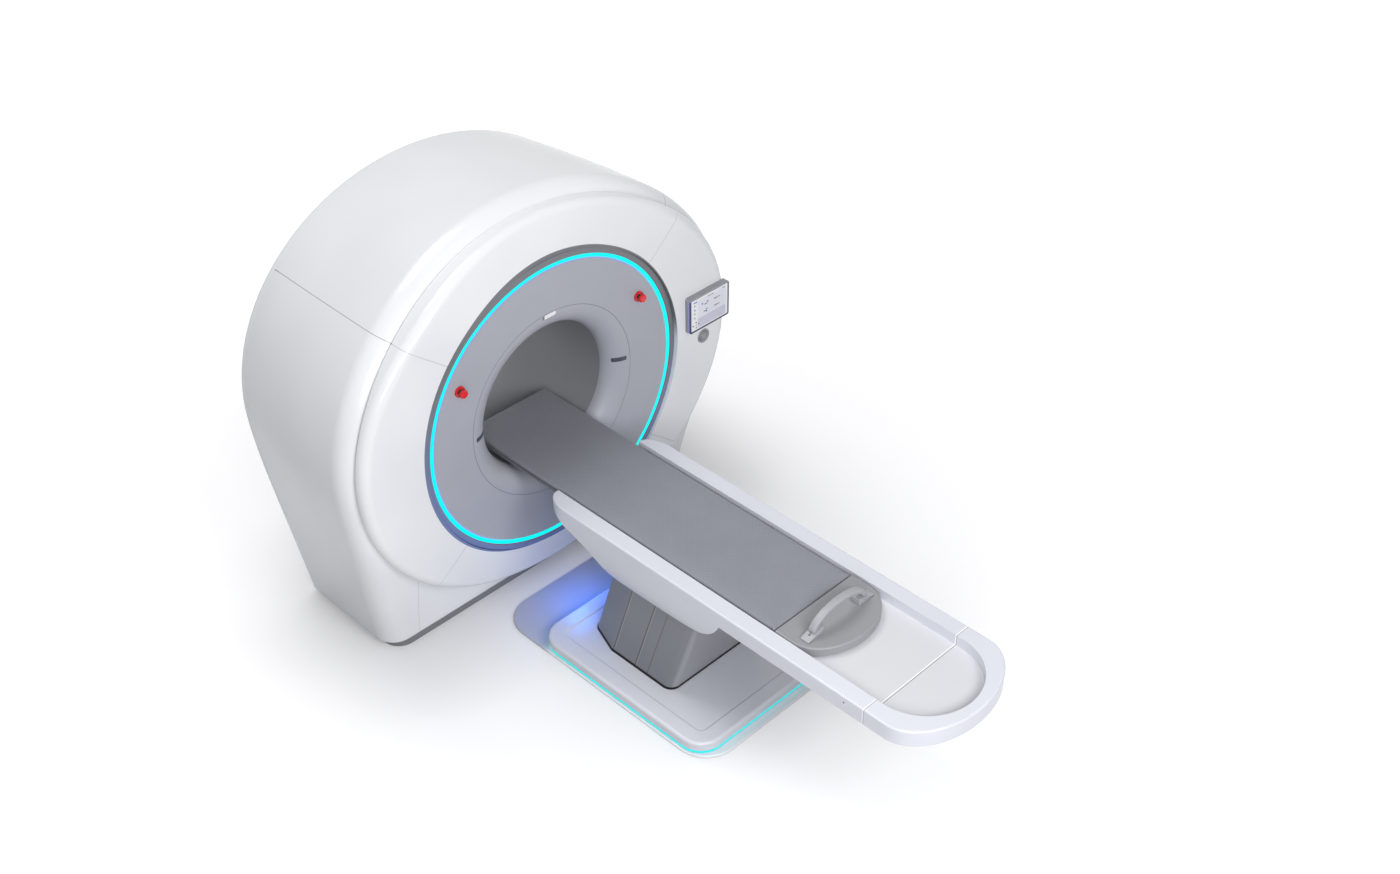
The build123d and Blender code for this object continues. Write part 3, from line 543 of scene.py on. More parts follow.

# %% [markdown]
# The cover on the column's front end is the same plastic, but its flat face looks up and catches
# more of the room. That light is painted: a lighter tone on that face alone sets it off from the
# sides at the rounded corner.

# %% Dress the end of the column
# Satin ABS as on the sides, a touch glossier.
end, tree, shader, place = moulded("satin_abs_column_end", COLUMN_GREY, 0.38)
column_low, column_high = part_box("column_front_cover")
end_face = column_low.y + LEAN * column_high.z
# Painted light: the flat end face is painted lighter than the sides.
face = band(tree, place, leaning, end_face - 100 * MM, end_face + 12 * MM, 16 * MM)
paint_over(tree, shader, face, "9DA0A4")
painted_foot_shade(tree, shader, place)
dress(end, "column_front_cover")

# %% [markdown]
# The table's hull, its end cap and the tray on top of it are sprayed and polished like the covers,
# in a slightly violet white. A fine gap runs across all three where the end cap begins, with a
# painted highlight along the lip beside it. On each side is one small screw in a hole, seen as a
# dark dot near the end cap.

# %% Dress the table top
RAIL_SCREW = (hull_high.x, 2337 * MM, 737 * MM)
SCREW_RADIUS = 4 * MM
cap_gap = ((0, 1, 0), cap_seam)
# Spray paint as on the covers: clear reflections along the rounded rail.
for name, colour, shade, solids in (
    ("gloss_paint_table", "DCDEE7", "CDD0DB", ["hull", "end_cap"]),
    ("gloss_paint_tray", "D6D7DB", "CACCD2", ["tray_front", "tray_rear"]),
):
    paint, tree, shader, place = sprayed_gloss(name, colour, [cap_gap], shade)
    # Painted highlight: a white line along the lip beside the gap.
    lip_highlight = band(tree, place, (0, 1, 0), cap_seam + 1.5 * MM, cap_seam + 6 * MM, 2 * MM)
    paint_over(tree, shader, lip_highlight, "FFFFFF")
    both_sides = add(tree, "VectorMath", {0: place}, operation="ABSOLUTE")
    reach = add(tree, "VectorMath", {0: both_sides, 1: RAIL_SCREW}, operation="DISTANCE")
    paint_over(tree, shader, stripe(tree, reach, -1, SCREW_RADIUS, 1 * MM), "2A2B2E")
    dress(paint, *solids)

# Laminate: a hard dark board with a faint texture.
dress(moulded("laminate_board", "6E7076", 0.4)[0], "cradle_board")
# Satin ABS in light grey: a plain end that the handle stands on.
dress(moulded("satin_abs_end", "939599", 0.4)[0], "end_piece")

# %% [markdown]
# New pieces are modelled where the solid is too plain. Each starts from a primitive and is shaped
# in edit mode. One helper puts a finished piece's place into its mesh and shades it, and one more
# says what it is made of, what it moves with and which solids it stands for.

# %% Helpers for new pieces
def settle(piece, angle=35):
    """Puts a piece's place into its mesh and shades it smooth up to an angle between faces."""
    bpy.ops.object.select_all(action="DESELECT")
    piece.select_set(True)
    bpy.context.view_layer.objects.active = piece
    bpy.ops.object.transform_apply(location=True, rotation=True, scale=True)
    bpy.ops.object.shade_smooth_by_angle(angle=radians(angle))


def fit(piece, finish, body, slot, *replaced):
    """Gives a piece its finish, its moving body and the solids that it stands for; slot is not
    used.
    """
    if finish:
        piece.data.materials.append(finish)
    if replaced:
        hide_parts(*replaced)
    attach(piece, body)
    print(piece.name, "rides", body, "with", len(piece.data.polygons), "faces")


def start_edit():
    """Edit mode on the active piece with everything selected."""
    bpy.ops.object.mode_set(mode="EDIT")
    bpy.ops.mesh.select_all(action="SELECT")


print("pieces of the model that can be replaced:", len(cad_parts))

# %% [markdown]
# Rings, buttons and their collars are turned parts. They could be spun from a profile, but here a
# circle is extruded forward and resized, ring by ring, like the steps of a lathe, which keeps each
# step readable as a radius and a depth. A profile that ends where it starts gives a closed collar,
# and one that doesn't is closed by a face at each end.

# %% Turn a round part
def turned(name, profile, centre, sides=40):
    """Round piece from steps of (radius, distance forward) in millimetres, facing the table."""
    bpy.ops.object.select_all(action="DESELECT")
    radius, forward = profile[0]
    bpy.ops.mesh.primitive_circle_add(vertices=sides, radius=radius * MM)
    piece = bpy.context.object
    piece.name = name
    start_edit()
    bpy.ops.transform.translate(value=(0, 0, forward * MM))
    for next_radius, next_forward in profile[1:]:
        step = (0, 0, (next_forward - forward) * MM)
        bpy.ops.mesh.extrude_region_move(TRANSFORM_OT_translate={"value": step})
        scale = next_radius / radius
        bpy.ops.transform.resize(value=(scale, scale, 1), center_override=(0, 0, 0))
        radius, forward = next_radius, next_forward
    bpy.ops.mesh.select_all(action="SELECT")
    bpy.ops.mesh.remove_doubles(threshold=0.001 * MM)
    bpy.ops.mesh.fill_holes(sides=0)
    bpy.ops.mesh.select_all(action="SELECT")
    bpy.ops.mesh.normals_make_consistent(inside=False)
    bpy.ops.object.mode_set(mode="OBJECT")
    piece.rotation_euler = (pi / 2, 0, 0)
    piece.location = centre
    settle(piece)
    return piece


print("round parts can be turned")

# %% [markdown]
# Round the disc runs a ring of light, an opal ring with cyan lamps behind it. Its inner edge glows
# lavender on the side that the lamps reach, and its wall next to the disc is unlit. It is turned
# anew with small rounded edges, because the solid has sharp ones. The glow depends on the distance
# from the bore's axis, so it needs no picture and stays sharp from close by.

# %% Ring of light
RING_SIDES = 180
RING_BACK = 395
OPAL_FACE = 406
OPAL_INNER, OPAL_OUTER = 668.5, 691.5
OPAL = [(OPAL_OUTER, RING_BACK), (OPAL_OUTER, OPAL_FACE - 1), (OPAL_OUTER - 1, OPAL_FACE),
        (OPAL_INNER + 1, OPAL_FACE), (OPAL_INNER, OPAL_FACE - 1), (OPAL_INNER, RING_BACK),
        (OPAL_OUTER, RING_BACK)]
LAVENDER_WITHIN = 674.5 * MM
WALL_WITHIN = 669.2 * MM
LAMP_REACH = 250 * MM
LAMP_CYAN = "00FFFF"
SLANT = 0.7

axis_foot = (0, 0, bore_height)
ring_light, tree, shader, place = opal_acrylic("lit_opal_acrylic_ring", LAMP_CYAN)
reach = from_line(tree, place, 0, bore_height)
up_left = add(tree, "VectorMath", {0: place, 1: (-SLANT, 0, SLANT)}, operation="DOT_PRODUCT")
middle = SLANT * bore_height
lit_side = add(tree, "MapRange", {0: up_left, 1: middle - LAMP_REACH, 2: middle})
inner = stripe(tree, reach, 0.6, LAVENDER_WITHIN, 2 * MM)
inner = add(tree, "Math", {0: inner, 1: lit_side}, operation="MULTIPLY")
glow = add(tree, "Mix", {"Factor": inner, "A": LAMP_CYAN, "B": "94A8FF"}, data_type="RGBA")
wall = stripe(tree, reach, 0.6, WALL_WITHIN, 0.4 * MM)
unlit = {"Factor": wall, "A": glow, "B": "000000"}
add(tree, "Mix", unlit, to=shader["Emission Color"], data_type="RGBA")
paint_over(tree, shader, wall, DISC_GREY)
opal = turned("opal_ring", OPAL, axis_foot, RING_SIDES)
fit(opal, ring_light, "gantry", "light_cyan", "light_ring")

# %% [markdown]
# Outside the light runs the trim, a dark moulded ring that hides the lamps' housing. It is turned
# like the opal ring. Its inner edge catches a thin line of red, and its lower side turns blue,
# both painted as stripes, because they are reflections of lamps that are not in the scene.

# %% Trim ring
TRIM_FACE = 409
TRIM_INNER = 692
trim_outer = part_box("trim_ring")[1].x / MM
TRIM = [(trim_outer, RING_BACK), (trim_outer, TRIM_FACE - 2), (trim_outer - 2, TRIM_FACE),
        (TRIM_INNER + 1.5, TRIM_FACE), (TRIM_INNER, TRIM_FACE - 2), (TRIM_INNER, RING_BACK),
        (trim_outer, RING_BACK)]
RED_WITHIN = 694.2 * MM

# Satin ABS in dark grey: the quiet edge that makes the light look bright.
trim, tree, shader, place = moulded("satin_abs_trim", FLANGE_GREY, 0.38)
low_side = band(tree, place, (0.25, 0, 1), -1, blue_below, BLUE_FADE)
paint_over(tree, shader, low_side, PAINTED_BLUE_REFLECTION)
reach = from_line(tree, place, 0, bore_height)
paint_over(tree, shader, stripe(tree, reach, 0.68, RED_WITHIN, 1 * MM), "A8405C")
trim_band = turned("trim_band", TRIM, axis_foot, RING_SIDES)
fit(trim_band, trim, "gantry", "trim_grey", "trim_ring")

# %% [markdown]
# On each side of the bore is an emergency stop: a red cap on a black rubber bellows in a dished
# red collar. Three turned parts make one. The cap presses in by a few millimetres and rides on its
# own body, while the bellows stays on the gantry with a mesh of its own.

# %% Emergency stops
COLLAR = [(24.5, -1), (25, 2), (25, 8), (24, 10), (22, 10.5), (20.5, 9.5), (19, 5), (12, 3.5),
          (9, 3.5), (9, -1), (24.5, -1)]
BELLOWS = [(10, 2), (11, 4), (8.5, 6.5), (11, 9), (8.5, 11.5), (11, 14), (8.5, 16.5), (11, 19),
           (9, 21.5), (9, 23)]
CAP = [(10, 22), (17, 22), (19, 24), (19, 32), (17.5, 35), (15, 36), (12, 35.6), (11.5, 34.9),
       (8, 35.2)]
COLLAR_SUNK = 9 * MM

# Red nylon: glossy and strong in colour, to be seen at once.
red_nylon = moulded("red_nylon", "E0161E", 0.28, Coat_Weight=0.3)[0]
# Black rubber: dull, so that the folds read as dark rings.
black_rubber = moulded("black_rubber", "151516", 0.6)[0]
stop_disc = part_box("stop_collar_left")[0].y + COLLAR_SUNK
for side in ("left", "right"):
    low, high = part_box(f"stop_collar_{side}")
    centre = ((low.x + high.x) / 2, stop_disc, (low.z + high.z) / 2)
    collar = turned(f"stop_dish_{side}", COLLAR, centre)
    fit(collar, red_nylon, "gantry", "button_red", f"stop_collar_{side}")
    cap = turned(f"stop_head_{side}", CAP, centre)
    fit(cap, red_nylon, f"stop_cap_{side}", "button_red", f"stop_button_{side}")
    bellows = turned(f"stop_bellows_{side}", BELLOWS, centre)
    fit(bellows, black_rubber, "gantry", "trim_grey")
    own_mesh(bellows)

# %% [markdown]
# Under the screen is a round grey call button. Its collar is rounded over, and a darker ring is
# let into its cap, so that a finger finds the middle. The ring's groove is turned, and its colour
# is a stripe on the distance from the button's own axis.

# %% Call button
CALL_COLLAR = [(26, 0), (35, 0), (36, 1), (36, 19), (35, 21.3), (33, 22), (30, 21.4), (28, 20),
               (26, 19.5), (26, 0)]
CALL_CAP = [(24, 4), (24, 21), (23, 22.4), (21, 23), (18.5, 22.7), (17.5, 21.4), (15.5, 21.4),
            (14.5, 22.7), (8, 23)]

low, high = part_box("call_collar")
centre = ((low.x + high.x) / 2, high.y, (low.z + high.z) / 2)
# Grey nylon: satin, a little darker than the disc.
grey_nylon = moulded("grey_nylon", "8F9196", 0.4)[0]
fit(turned("call_surround", CALL_COLLAR, centre), grey_nylon, "gantry", "call_grey", "call_collar")
# The same nylon on the cap, polished by fingers.
cap_nylon, tree, shader, place = moulded("grey_nylon_cap", "96989D", 0.38)
reach = from_line(tree, place, centre[0], centre[2])
paint_over(tree, shader, stripe(tree, reach, 15 * MM, 18 * MM, 0.5 * MM), "6B6E78")
fit(turned("call_cap_face", CALL_CAP, centre), cap_nylon, "call_cap", "call_grey", "call_button")

# %% [markdown]
# The touch screen sits in a lavender housing that is moulded in one piece with a dark front rim.
# Further back and along its top the housing is painted grey, as painted shade where it sinks into
# its recess. The colours are bands by depth and by height. The glass in front is smooth and coated,
# so it mirrors the room a little.

# %% Dress the screen's housing
# Satin ABS in lavender: a cool edge that frames the white glass.
housing, tree, shader, place = moulded("lavender_abs", "9BA0D8", 0.35)
housing_low, housing_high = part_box("screen_housing")
front = housing_low.y
top = housing_high.z
# The dark front rim is the housing's own colour; the grey further back and on top is painted shade.
for direction, start, end, fade, colour in (
    ((0, 1, 0), front - 5 * MM, front + 4 * MM, 0.5 * MM, "34384E"),
    ((0, 1, 0), front + 15 * MM, front + 90 * MM, 2 * MM, "8E9096"),
    ((0, 0, 1), top - 8 * MM, top + 9 * MM, 3 * MM, "9A9CA2"),
):
    paint_over(tree, shader, band(tree, place, direction, start, end, fade), colour)
dress(housing, "screen_housing")
# Coated glass: sharp reflections on a pale page.
dress(moulded("screen_glass", "F4F4FA", 0.08, depth_mm=0.0, Coat_Weight=0.5)[0], "screen_glass")

# %% [markdown]
# The screen's picture stands for a plain control page: two panels, and on them bars, dots and a
# key pad. It could be a flat pattern, but as thin plates just proud of the glass it stays sharp
# and needs no picture. All are planes in one mesh. Their corners are rounded with a vertex bevel,
# and at the end everything is extruded at once.

# %% Page on the screen
PAGE = ["page_light", "page_dark", "ink_grey", "ink_blue", "ink_teal"]
PAGE_COLOURS = ["E6E6F1", "CFCFE0", "5C5F68", "2F6FC0", "1F9CB8"]
# Ink, place across and up as shares of the glass, and width and height in millimetres.
MARKS = [
    (0, 0.56, 0.64, 180, 90), (1, 0.56, 0.19, 180, 50),
    (3, 0.107, 0.913, 24, 5), (2, 0.09, 0.81, 7, 7), (3, 0.09, 0.67, 7, 9), (2, 0.09, 0.55, 7, 7),
    (4, 0.09, 0.41, 8, 8), (2, 0.53, 0.916, 40, 3), (2, 0.89, 0.928, 18, 3),
    (2, 0.667, 0.721, 24, 5), (2, 0.76, 0.721, 14, 3), (2, 0.674, 0.486, 22, 5),
    (2, 0.75, 0.486, 12, 3), (3, 0.30, 0.755, 9, 8), (3, 0.444, 0.755, 9, 8),
    (2, 0.394, 0.706, 18, 5), (3, 0.423, 0.525, 8, 7), (3, 0.417, 0.443, 8, 6),
    (2, 0.374, 0.48, 18, 5), (2, 0.129, 0.247, 9, 6), (2, 0.197, 0.165, 9, 6),
    (2, 0.05, 0.165, 9, 6), (2, 0.129, 0.075, 9, 6), (2, 0.129, 0.165, 6, 4),
]
PANEL_PROUD, INK_PROUD = 0.3 * MM, 0.6 * MM
PLATE_THICK = 0.8 * MM

glass_low, glass_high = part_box("screen_glass")
glass_size = glass_high - glass_low
bpy.ops.object.select_all(action="DESELECT")
bpy.ops.mesh.primitive_plane_add(size=1 * MM, location=glass_low)
page = bpy.context.object
page.name = "screen_page"
# Lit pixels behind glass: flat, even colours.
for name, colour in zip(PAGE, PAGE_COLOURS):
    page.data.materials.append(moulded(name, colour, 0.3, depth_mm=0.0)[0])
start_edit()
bpy.ops.mesh.delete(type="VERT")
for ink, across, up, wide, tall in MARKS:
    proud = PANEL_PROUD if ink < 2 else INK_PROUD
    middle = (
        glass_low.x + across * glass_size.x,
        glass_low.y - proud,
        glass_low.z + up * glass_size.z,
    )
    bpy.ops.mesh.select_all(action="DESELECT")
    bpy.ops.mesh.primitive_plane_add(size=1 * MM, location=middle, rotation=(pi / 2, 0, 0))
    bpy.ops.transform.resize(value=(wide, 1, tall), center_override=middle)
    corner = min(wide, tall, 8) * 0.3 * MM
    bpy.ops.mesh.bevel(offset=corner, segments=2, affect="VERTICES")
    page.active_material_index = ink
    bpy.ops.object.material_slot_assign()
bpy.ops.mesh.select_all(action="SELECT")
bpy.ops.mesh.extrude_region_move(TRANSFORM_OT_translate={"value": (0, PLATE_THICK, 0)})
bpy.ops.mesh.select_all(action="SELECT")
bpy.ops.mesh.normals_make_consistent(inside=False)
bpy.ops.object.mode_set(mode="OBJECT")
settle(page)
fit(page, None, "gantry", "screen_face")

# %% [markdown]
# The cradle is drawn out by an arched handle on its end piece. It is swept: a rectangle with
# rounded corners is extruded step by step along half an ellipse. A curve with a bevel would be
# round all over, and this one is flat on top. One subdivision then softens its ridges. The ellipse
# comes first.

# %% Line of the handle
ARCH_INSET = 11 * MM

handle_low, handle_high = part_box("handle")
handle_foot = handle_low.z
handle_line = (handle_low.y + handle_high.y) / 2
arch_half = (handle_high.x - handle_low.x) / 2 - ARCH_INSET
arch_rise = handle_high.z - handle_foot - ARCH_INSET


def arch_point(share):
    """Point on the arch and the angle that its line makes with the upright there."""
    turn = pi * (0.02 + 0.96 * share)
    point = Vector((-arch_half * cos(turn), handle_line, handle_foot + arch_rise * sin(turn)))
    return point, atan2(arch_half * sin(turn), arch_rise * cos(turn))


print("the arch rises", round(arch_rise, 3), "m over", round(2 * arch_half, 3), "m")

# %% [markdown]
# The rounded rectangle is drawn at the left foot and carried along the arch. After each step it is
# turned about the new point by the same small angle as the line, so it always stands square to it.

# %% Sweep the handle
HANDLE_STEPS = 26
HANDLE_WIDE = 34 * MM
HANDLE_THICK = 23 * MM
HANDLE_CORNER = 6 * MM

point, lean = arch_point(0)
bpy.ops.object.select_all(action="DESELECT")
bpy.ops.mesh.primitive_plane_add(size=1, location=point, rotation=(0, lean, 0))
grip = bpy.context.object
grip.name = "handle_grip"
grip.scale = (HANDLE_THICK, HANDLE_WIDE, 1)
bpy.ops.object.transform_apply(location=True, rotation=True, scale=True)
start_edit()
bpy.ops.mesh.bevel(offset=HANDLE_CORNER, segments=2, affect="VERTICES")
bpy.ops.mesh.select_all(action="SELECT")
for number in range(1, HANDLE_STEPS + 1):
    next_point, next_lean = arch_point(number / HANDLE_STEPS)
    bpy.ops.mesh.extrude_region_move(TRANSFORM_OT_translate={"value": next_point - point})
    bpy.ops.transform.rotate(
        value=lean - next_lean, orient_axis="Y", center_override=next_point
    )
    point, lean = next_point, next_lean
bpy.ops.mesh.select_all(action="SELECT")
bpy.ops.mesh.normals_make_consistent(inside=False)
bpy.ops.object.mode_set(mode="OBJECT")
round_off = grip.modifiers.new("round_off", "SUBSURF")
round_off.levels = round_off.render_levels = 1
bpy.ops.object.modifier_apply(modifier=round_off.name)
settle(grip)
# Satin ABS in pale grey: a soft line of light along the arch.
handle_abs = moulded("satin_abs_handle", "A4A6AB", 0.42)[0]
fit(grip, handle_abs, "cradle", "handle_grey", "handle")

# %% [markdown]
# The handle's feet are moulded wedges that rise from the end piece to the arch. A wedge is a block
# with one edge lowered, so the left foot starts as a cube. Its outer top edge is moved down, and
# then all edges are bevelled, as a moulding has no sharp ones.

# %% Wedge under the handle
FOOT_RISE = 32 * MM
FOOT_LIP = 6 * MM
FOOT_ROUND = 4 * MM

foot_low, foot_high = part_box("handle_mount_left")
foot_size = foot_high - foot_low
foot_middle = (foot_low + foot_high) / 2
half_up = foot_low.z + FOOT_RISE / 2
bpy.ops.object.select_all(action="DESELECT")
bpy.ops.mesh.primitive_cube_add(size=1, location=(foot_middle.x, foot_middle.y, half_up))
wedge = bpy.context.object
wedge.name = "handle_foot_left"
wedge.scale = (foot_size.x, foot_size.y, FOOT_RISE)
bpy.ops.object.transform_apply(location=True, rotation=True, scale=True)
for corner in wedge.data.vertices:
    corner.select = corner.co.x < foot_middle.x and corner.co.z > half_up
for edge in wedge.data.edges:
    edge.select = all(wedge.data.vertices[v].select for v in edge.vertices)
for face in wedge.data.polygons:
    face.select = False
bpy.ops.object.mode_set(mode="EDIT")
bpy.ops.transform.translate(value=(0, 0, FOOT_LIP - FOOT_RISE))
bpy.ops.mesh.select_all(action="SELECT")
bpy.ops.mesh.bevel(offset=FOOT_ROUND, segments=3, affect="EDGES")
bpy.ops.object.mode_set(mode="OBJECT")
print("wedge of", round(foot_size.x / MM), "by", round(foot_size.y / MM), "mm")

# %% [markdown]
# A deep hole for the screw goes straight down into the slope. A cylinder in the place of the drill
# is taken out with a Boolean modifier. It could be cut by hand, but the slope would need an oval
# edge. It stops over the wedge's underside, so that the screw has a bed.

# %% Drill the wedge
SCREW_BED = 5 * MM
SCREW_SHARE = 0.34
HOLE_RADIUS, HOLE_DEPTH = 5 * MM, 40 * MM

screw_x = foot_low.x + SCREW_SHARE * foot_size.x
bpy.ops.object.select_all(action="DESELECT")
bpy.ops.mesh.primitive_cylinder_add(
    vertices=24, radius=HOLE_RADIUS, depth=HOLE_DEPTH,
    location=(screw_x, foot_middle.y, foot_low.z + SCREW_BED + HOLE_DEPTH / 2),
)
drill = bpy.context.object
bore = wedge.modifiers.new("bore", "BOOLEAN")
bore.operation = "DIFFERENCE"
bore.object = drill
bpy.context.view_layer.objects.active = wedge
bpy.ops.object.modifier_apply(modifier=bore.name)
bpy.data.objects.remove(drill)
settle(wedge)
print("drilled wedge has", len(wedge.data.polygons), "faces")

# %% [markdown]
# A socket screw sits at the bottom of the hole. It is a short cylinder whose top is inset and
# pushed in to make the socket, so that even its small dark head has a shape.

# %% Screw in the wedge
SOCKET = 2 * MM
bpy.ops.object.select_all(action="DESELECT")
bpy.ops.mesh.primitive_cylinder_add(
    vertices=24, radius=4.8 * MM, depth=3 * MM,
    location=(screw_x, foot_middle.y, foot_low.z + 5.5 * MM),
)
screw = bpy.context.object
screw.name = "handle_screw_left"
for face in screw.data.polygons:
    face.select = face.normal.z > 0.9
for edge in screw.data.edges:
    edge.select = False
bpy.ops.object.mode_set(mode="EDIT")
bpy.ops.mesh.inset(thickness=SOCKET, depth=0)
bpy.ops.mesh.extrude_region_move(TRANSFORM_OT_translate={"value": (0, 0, -SOCKET)})
bpy.ops.object.mode_set(mode="OBJECT")
settle(screw)
print("screw head of", round(screw.dimensions.x / MM, 1), "mm")

# %% [markdown]
# The right foot and its screw are mirror images of the left ones. A live mirror would keep both
# halves in one object, but they are separate parts, so each copy gets its own mesh and a negative
# scale. That scale turns the faces inside out, and so the normals are worked out again.

# %% Mirror the foot and the screw
def mirrored(piece, name):
    """Copy of a piece on the other side of the table, with its own mesh."""
    bpy.ops.object.select_all(action="DESELECT")
    twin = piece.copy()
    twin.data = piece.data.copy()
    twin.name = name
    bpy.context.collection.objects.link(twin)
    twin.scale = (-1, 1, 1)
    twin.select_set(True)
    bpy.context.view_layer.objects.active = twin
    bpy.ops.object.transform_apply(location=True, rotation=True, scale=True)
    start_edit()
    bpy.ops.mesh.normals_make_consistent(inside=False)
    bpy.ops.object.mode_set(mode="OBJECT")
    settle(twin)
    return twin


# Blackened steel: nearly black and dull.
dark_steel = powder_coated("blackened_steel", "1C1C1E", 0.45)[0]
wedge_right = mirrored(wedge, "handle_foot_right")
screw_right = mirrored(screw, "handle_screw_right")
fit(wedge, handle_abs, "cradle", "handle_grey", "handle_mount_left")
fit(wedge_right, handle_abs, "cradle", "handle_grey", "handle_mount_right")
fit(screw, dark_steel, "cradle", "base_dark", "handle_screws")
fit(screw_right, dark_steel, "cradle", "base_dark")

# %% [markdown]
# The mat is a thin firm foam pad in a woven vinyl cover. It starts as a block, a little smaller
# than its space so that it has room to swell. The block's edges are bevelled, and it is remeshed
# evenly, because cloth bends well only on faces of one size.

# %% Block for the mat
MAT_GAP = 5 * MM
MAT_INSET = 3 * MM
MAT_ROUND = 5 * MM
MAT_VOXEL = 7 * MM

mat_low, mat_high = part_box("mat")
mat_end = mat_low.y + MAT_GAP
pad_low = Vector((mat_low.x + MAT_INSET, mat_end, mat_low.z))
pad_high = Vector((mat_high.x - MAT_INSET, mat_high.y - MAT_INSET, mat_high.z - MAT_INSET))
bpy.ops.object.select_all(action="DESELECT")
bpy.ops.mesh.primitive_cube_add(size=1, location=(pad_low + pad_high) / 2)
mat = bpy.context.object
mat.name = "mat_pad"
mat.scale = pad_high - pad_low
bpy.ops.object.transform_apply(location=True, rotation=True, scale=True)
start_edit()
bpy.ops.mesh.bevel(offset=MAT_ROUND, segments=3, affect="EDGES")
bpy.ops.object.mode_set(mode="OBJECT")
even = mat.modifiers.new("even", "REMESH")
even.mode = "VOXEL"
even.voxel_size = MAT_VOXEL
bpy.ops.object.modifier_apply(modifier=even.name)
print("mat of", len(mat.data.polygons), "faces")

# %% [markdown]
# A short cloth simulation blows the block up, so that the top crowns and the sides pull in between
# the corners, as foam does under a stretched cover. The underside is pinned, because it lies on
# the board. A point may move by only a few millimetres, which keeps the firm look of the real pad.

# %% Blow up the mat
MAT_SWELL = 4 * MM
MAT_PRESSURE = 4
MAT_FRAMES = 20

before = [corner.co.copy() for corner in mat.data.vertices]
resting = mat.vertex_groups.new(name="resting")
resting.add([i for i, co in enumerate(before) if co.z < pad_low.z + 2 * MM], 1.0, "REPLACE")
blown = mat.modifiers.new("blown", "CLOTH")
blown.settings.use_pressure = True
blown.settings.uniform_pressure_force = MAT_PRESSURE
blown.settings.effector_weights.gravity = 0
blown.settings.vertex_group_mass = "resting"
for step in range(1, MAT_FRAMES + 1):
    bpy.context.scene.frame_set(step)
bpy.ops.object.modifier_apply(modifier=blown.name)
bpy.context.scene.frame_set(1)
for corner, co in zip(mat.data.vertices, before):
    move = corner.co - co
    if move.length > MAT_SWELL:
        corner.co = co + move * (MAT_SWELL / move.length)
mat.vertex_groups.clear()
settle(mat, 60)
print("mat is", round(mat.dimensions.z / MM, 1), "mm thick")

# %% [markdown]
# Woven vinyl is plastic-coated yarn in a twill, so fine diagonal ribs cross the pad. Two waves,
# turned a quarter against each other and multiplied, give the crossing yarns. They could be
# modelled, but a bump is enough for a cloth this fine. A faint line crosses the pad where the
# cover is sewn, and its end at the handle is painted dark as shade in the gap there.

# %% Woven vinyl cover
# The real ribs are about 1.5 mm apart, and they are drawn 9 mm apart here to show at all.
WEAVE_PITCH = 9 * MM
WAVE_UNIT = 2 * pi / 20
WORN_PATCH = 120 * MM
SEWN_LINE = 236 * MM

# Woven vinyl: dull and slightly soft at grazing angles, with a fine crossing texture.
woven, tree, shader, place = new_finish("woven_vinyl", "8E9099", 0.55, Sheen_Weight=0.15)
ribs = []
for turn in (45, -45):
    turned_place = add(tree, "Mapping", {"Vector": place, "Rotation": (0, 0, radians(turn))})
    waves = {"Vector": turned_place, "Scale": WAVE_UNIT / WEAVE_PITCH, "Distortion": 0.0}
    ribs.append(add(tree, "TexWave", waves, take="Fac"))
weave = add(tree, "Math", {0: ribs[0], 1: ribs[1]}, operation="MULTIPLY")
bump = {"Height": weave, "Distance": 0.35 * MM, "Strength": 1.0}
add(tree, "Bump", bump, to=shader["Normal"])
shade = add(tree, "MapRange", {0: weave, 1: 0.0, 2: 1.0, 3: 0.45, 4: 0.0})
paint_over(tree, shader, shade, "6C6E78")
broad = add(tree, "TexNoise", {"Vector": place, "Scale": 1 / WORN_PATCH, "Detail": 4.0})
worn = add(tree, "MapRange", {0: broad, 1: 0.3, 2: 0.7, 3: 0.0, 4: 0.12})
paint_over(tree, shader, worn, "A0A2A9")
sewn = mat_low.y + SEWN_LINE
thread = band(tree, place, (0, 1, 0), sewn, sewn + 1 * MM, 2 * MM)
thread = add(tree, "Math", {0: thread, 1: 0.5}, operation="MULTIPLY")
paint_over(tree, shader, thread, "6A6C72")
# Painted shade: the pad's end by the handle is painted nearly black, as the gap there is in shade.
gap_shade = band(tree, place, (0, 1, 0), mat_end - 100 * MM, mat_end + 2 * MM, 1 * MM)
paint_over(tree, shader, gap_shade, "2A2B2E")
fit(mat, woven, "cradle", "mat_grey", "mat")

# %% [markdown]
# The floor and the room behind the scanner look white without lighting it any more than the lamps
# do. Light Path tells which rays come from the camera, or by way of a gloss or of glass. Those see
# the white, and all others see the real light. More lamp light would whiten the floor as well, but
# it would burn out the white covers.

# %% What the camera sees
def seen_by_eye(tree):
    """1 for rays that come from the camera, or by way of a gloss or of glass."""
    rays = [
        add(tree, "LightPath", take=kind)
        for kind in ("Is Camera Ray", "Is Glossy Ray", "Is Transmission Ray")
    ]
    seen = add(tree, "Math", {0: rays[0], 1: rays[1]}, operation="MAXIMUM")
    return add(tree, "Math", {0: seen, 1: rays[2]}, operation="MAXIMUM")


print("rays can be told apart")

# %% [markdown]
# The scanner stands on a plain floor in matt pale paint. To the camera the floor glows a little by
# itself, more with the distance, so that the ground runs out into white. The glow is dimmed where
# the scanner covers the sky, and so its shadow stays.

# %% Floor
FLOOR_GREY = "C2C2C5"
TABLE_FOOT = (0, -0.8, 0)
GLOW_NEAR, GLOW_FAR = 0.47, 0.9
NEAR, FAR = 1.0, 4.5
SKY_REACH = 0.6

bpy.ops.object.select_all(action="DESELECT")
bpy.ops.mesh.primitive_plane_add(size=60)
floor = bpy.context.object
floor.name = "floor"
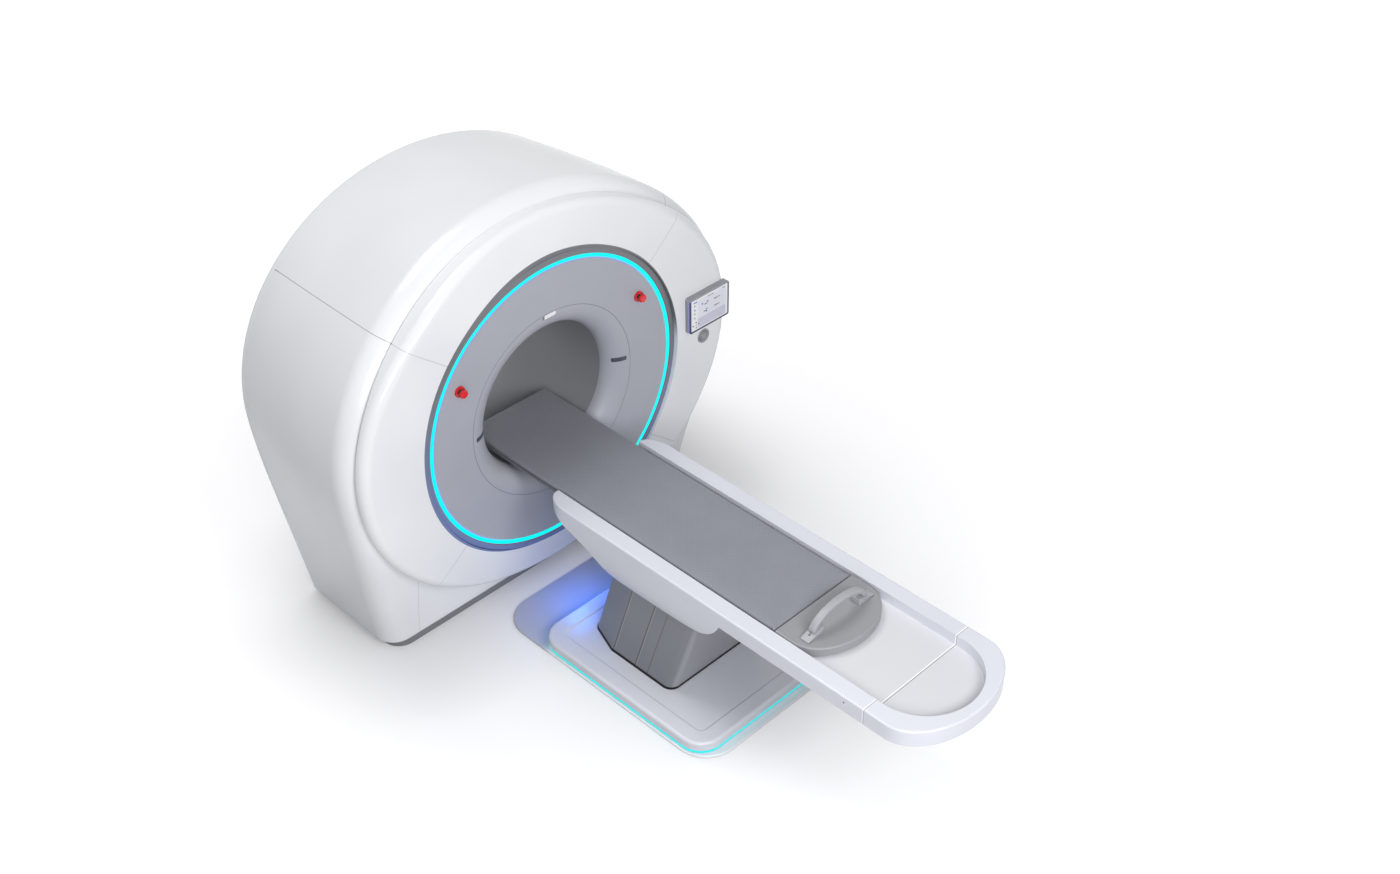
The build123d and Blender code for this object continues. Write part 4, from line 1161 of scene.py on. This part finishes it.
# Matt paint: no reflection, so that only the shadow ties the scanner to the ground.
floor_finish = bpy.data.materials.new("pale_floor")
floor_finish.use_nodes = True
tree = floor_finish.node_tree
tree.nodes.clear()
place = add(tree, "TexCoord", take="Object")
reach = add(tree, "VectorMath", {0: place, 1: TABLE_FOOT}, operation="DISTANCE")
glow = add(tree, "MapRange", {0: reach, 1: NEAR, 2: FAR, 3: GLOW_NEAR, 4: GLOW_FAR})
open_sky = add(tree, "AmbientOcclusion", {"Distance": SKY_REACH}, take="AO")
glow = add(tree, "Math", {0: glow, 1: open_sky}, operation="MULTIPLY")
glow = add(tree, "Math", {0: seen_by_eye(tree), 1: glow}, operation="MULTIPLY")
plain = add(tree, "BsdfDiffuse", {"Color": FLOOR_GREY})
shine = add(tree, "Emission", {"Color": "FFFFFF", "Strength": glow})
both = add(tree, "AddShader", {0: plain, 1: shine})
output = tree.nodes.new("ShaderNodeOutputMaterial")
tree.links.new(both, output.inputs["Surface"])
floor.data.materials.append(floor_finish)
floor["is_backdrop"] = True
print("floor is", floor.dimensions.x, "m wide")

# %% [markdown]
# The room is white to the eye and dim as a light. The same test of the rays parts the two, so that
# the background can be white without any more light on the scanner.

# %% Room
WORLD_LIGHT = 0.22
world = bpy.data.worlds.new("studio")
bpy.context.scene.world = world
world.use_nodes = True
tree = world.node_tree
tree.nodes.clear()
dim = add(tree, "Background", {"Color": "FFFFFF", "Strength": WORLD_LIGHT})
white = add(tree, "Background", {"Color": "FFFFFF", "Strength": 1.0})
mixed = add(tree, "MixShader", {0: seen_by_eye(tree), 1: dim, 2: white})
output = tree.nodes.new("ShaderNodeOutputWorld")
tree.links.new(mixed, output.inputs["Surface"])
print("world lights with", WORLD_LIGHT, "and shows white")

# %% [markdown]
# Three big soft lamps light the scanner from the front and above. A small blue one hides under the
# hull's tip, where the real table has a light that colours the floor plate and the column. Area
# lamps are used throughout, because their size gives the soft edges of studio shadows.

# %% Lamps
def soft_lamp(name, place, aim, size, power, colour="FFFFFF"):
    """Square area lamp at a place, turned to face a point."""
    bpy.ops.object.light_add(type="AREA", location=place)
    lamp = bpy.context.object
    lamp.name = name
    lamp.data.shape = "SQUARE"
    lamp.data.size = size
    lamp.data.energy = power
    lamp.data.color = linear(colour)[:3]
    lamp.rotation_euler = (Vector(aim) - Vector(place)).to_track_quat("-Z", "Y").to_euler()
    print(name, "lamp of", power, "W")


soft_lamp("key", (-3.5, -5.0, 3.6), (0, -0.5, 1.3), 2.2, 145)
soft_lamp("fill", (-0.9, -6.5, 4.6), (0, -0.4, 1.3), 2.5, 185)
soft_lamp("top", (-0.8, 1.8, 8.0), (0, -0.8, 0.5), 3.5, 235)
soft_lamp("under_hull", (-0.10, -0.60, 0.24), (-0.10, -0.72, 0.0), 0.12, 0.75, "3C7CFF")

# %% [markdown]
# The last cell prints the size of the finished model and ends the script.

# %% Sizes and end
low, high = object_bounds()
print("finished model from", tuple(low), "to", tuple(high))
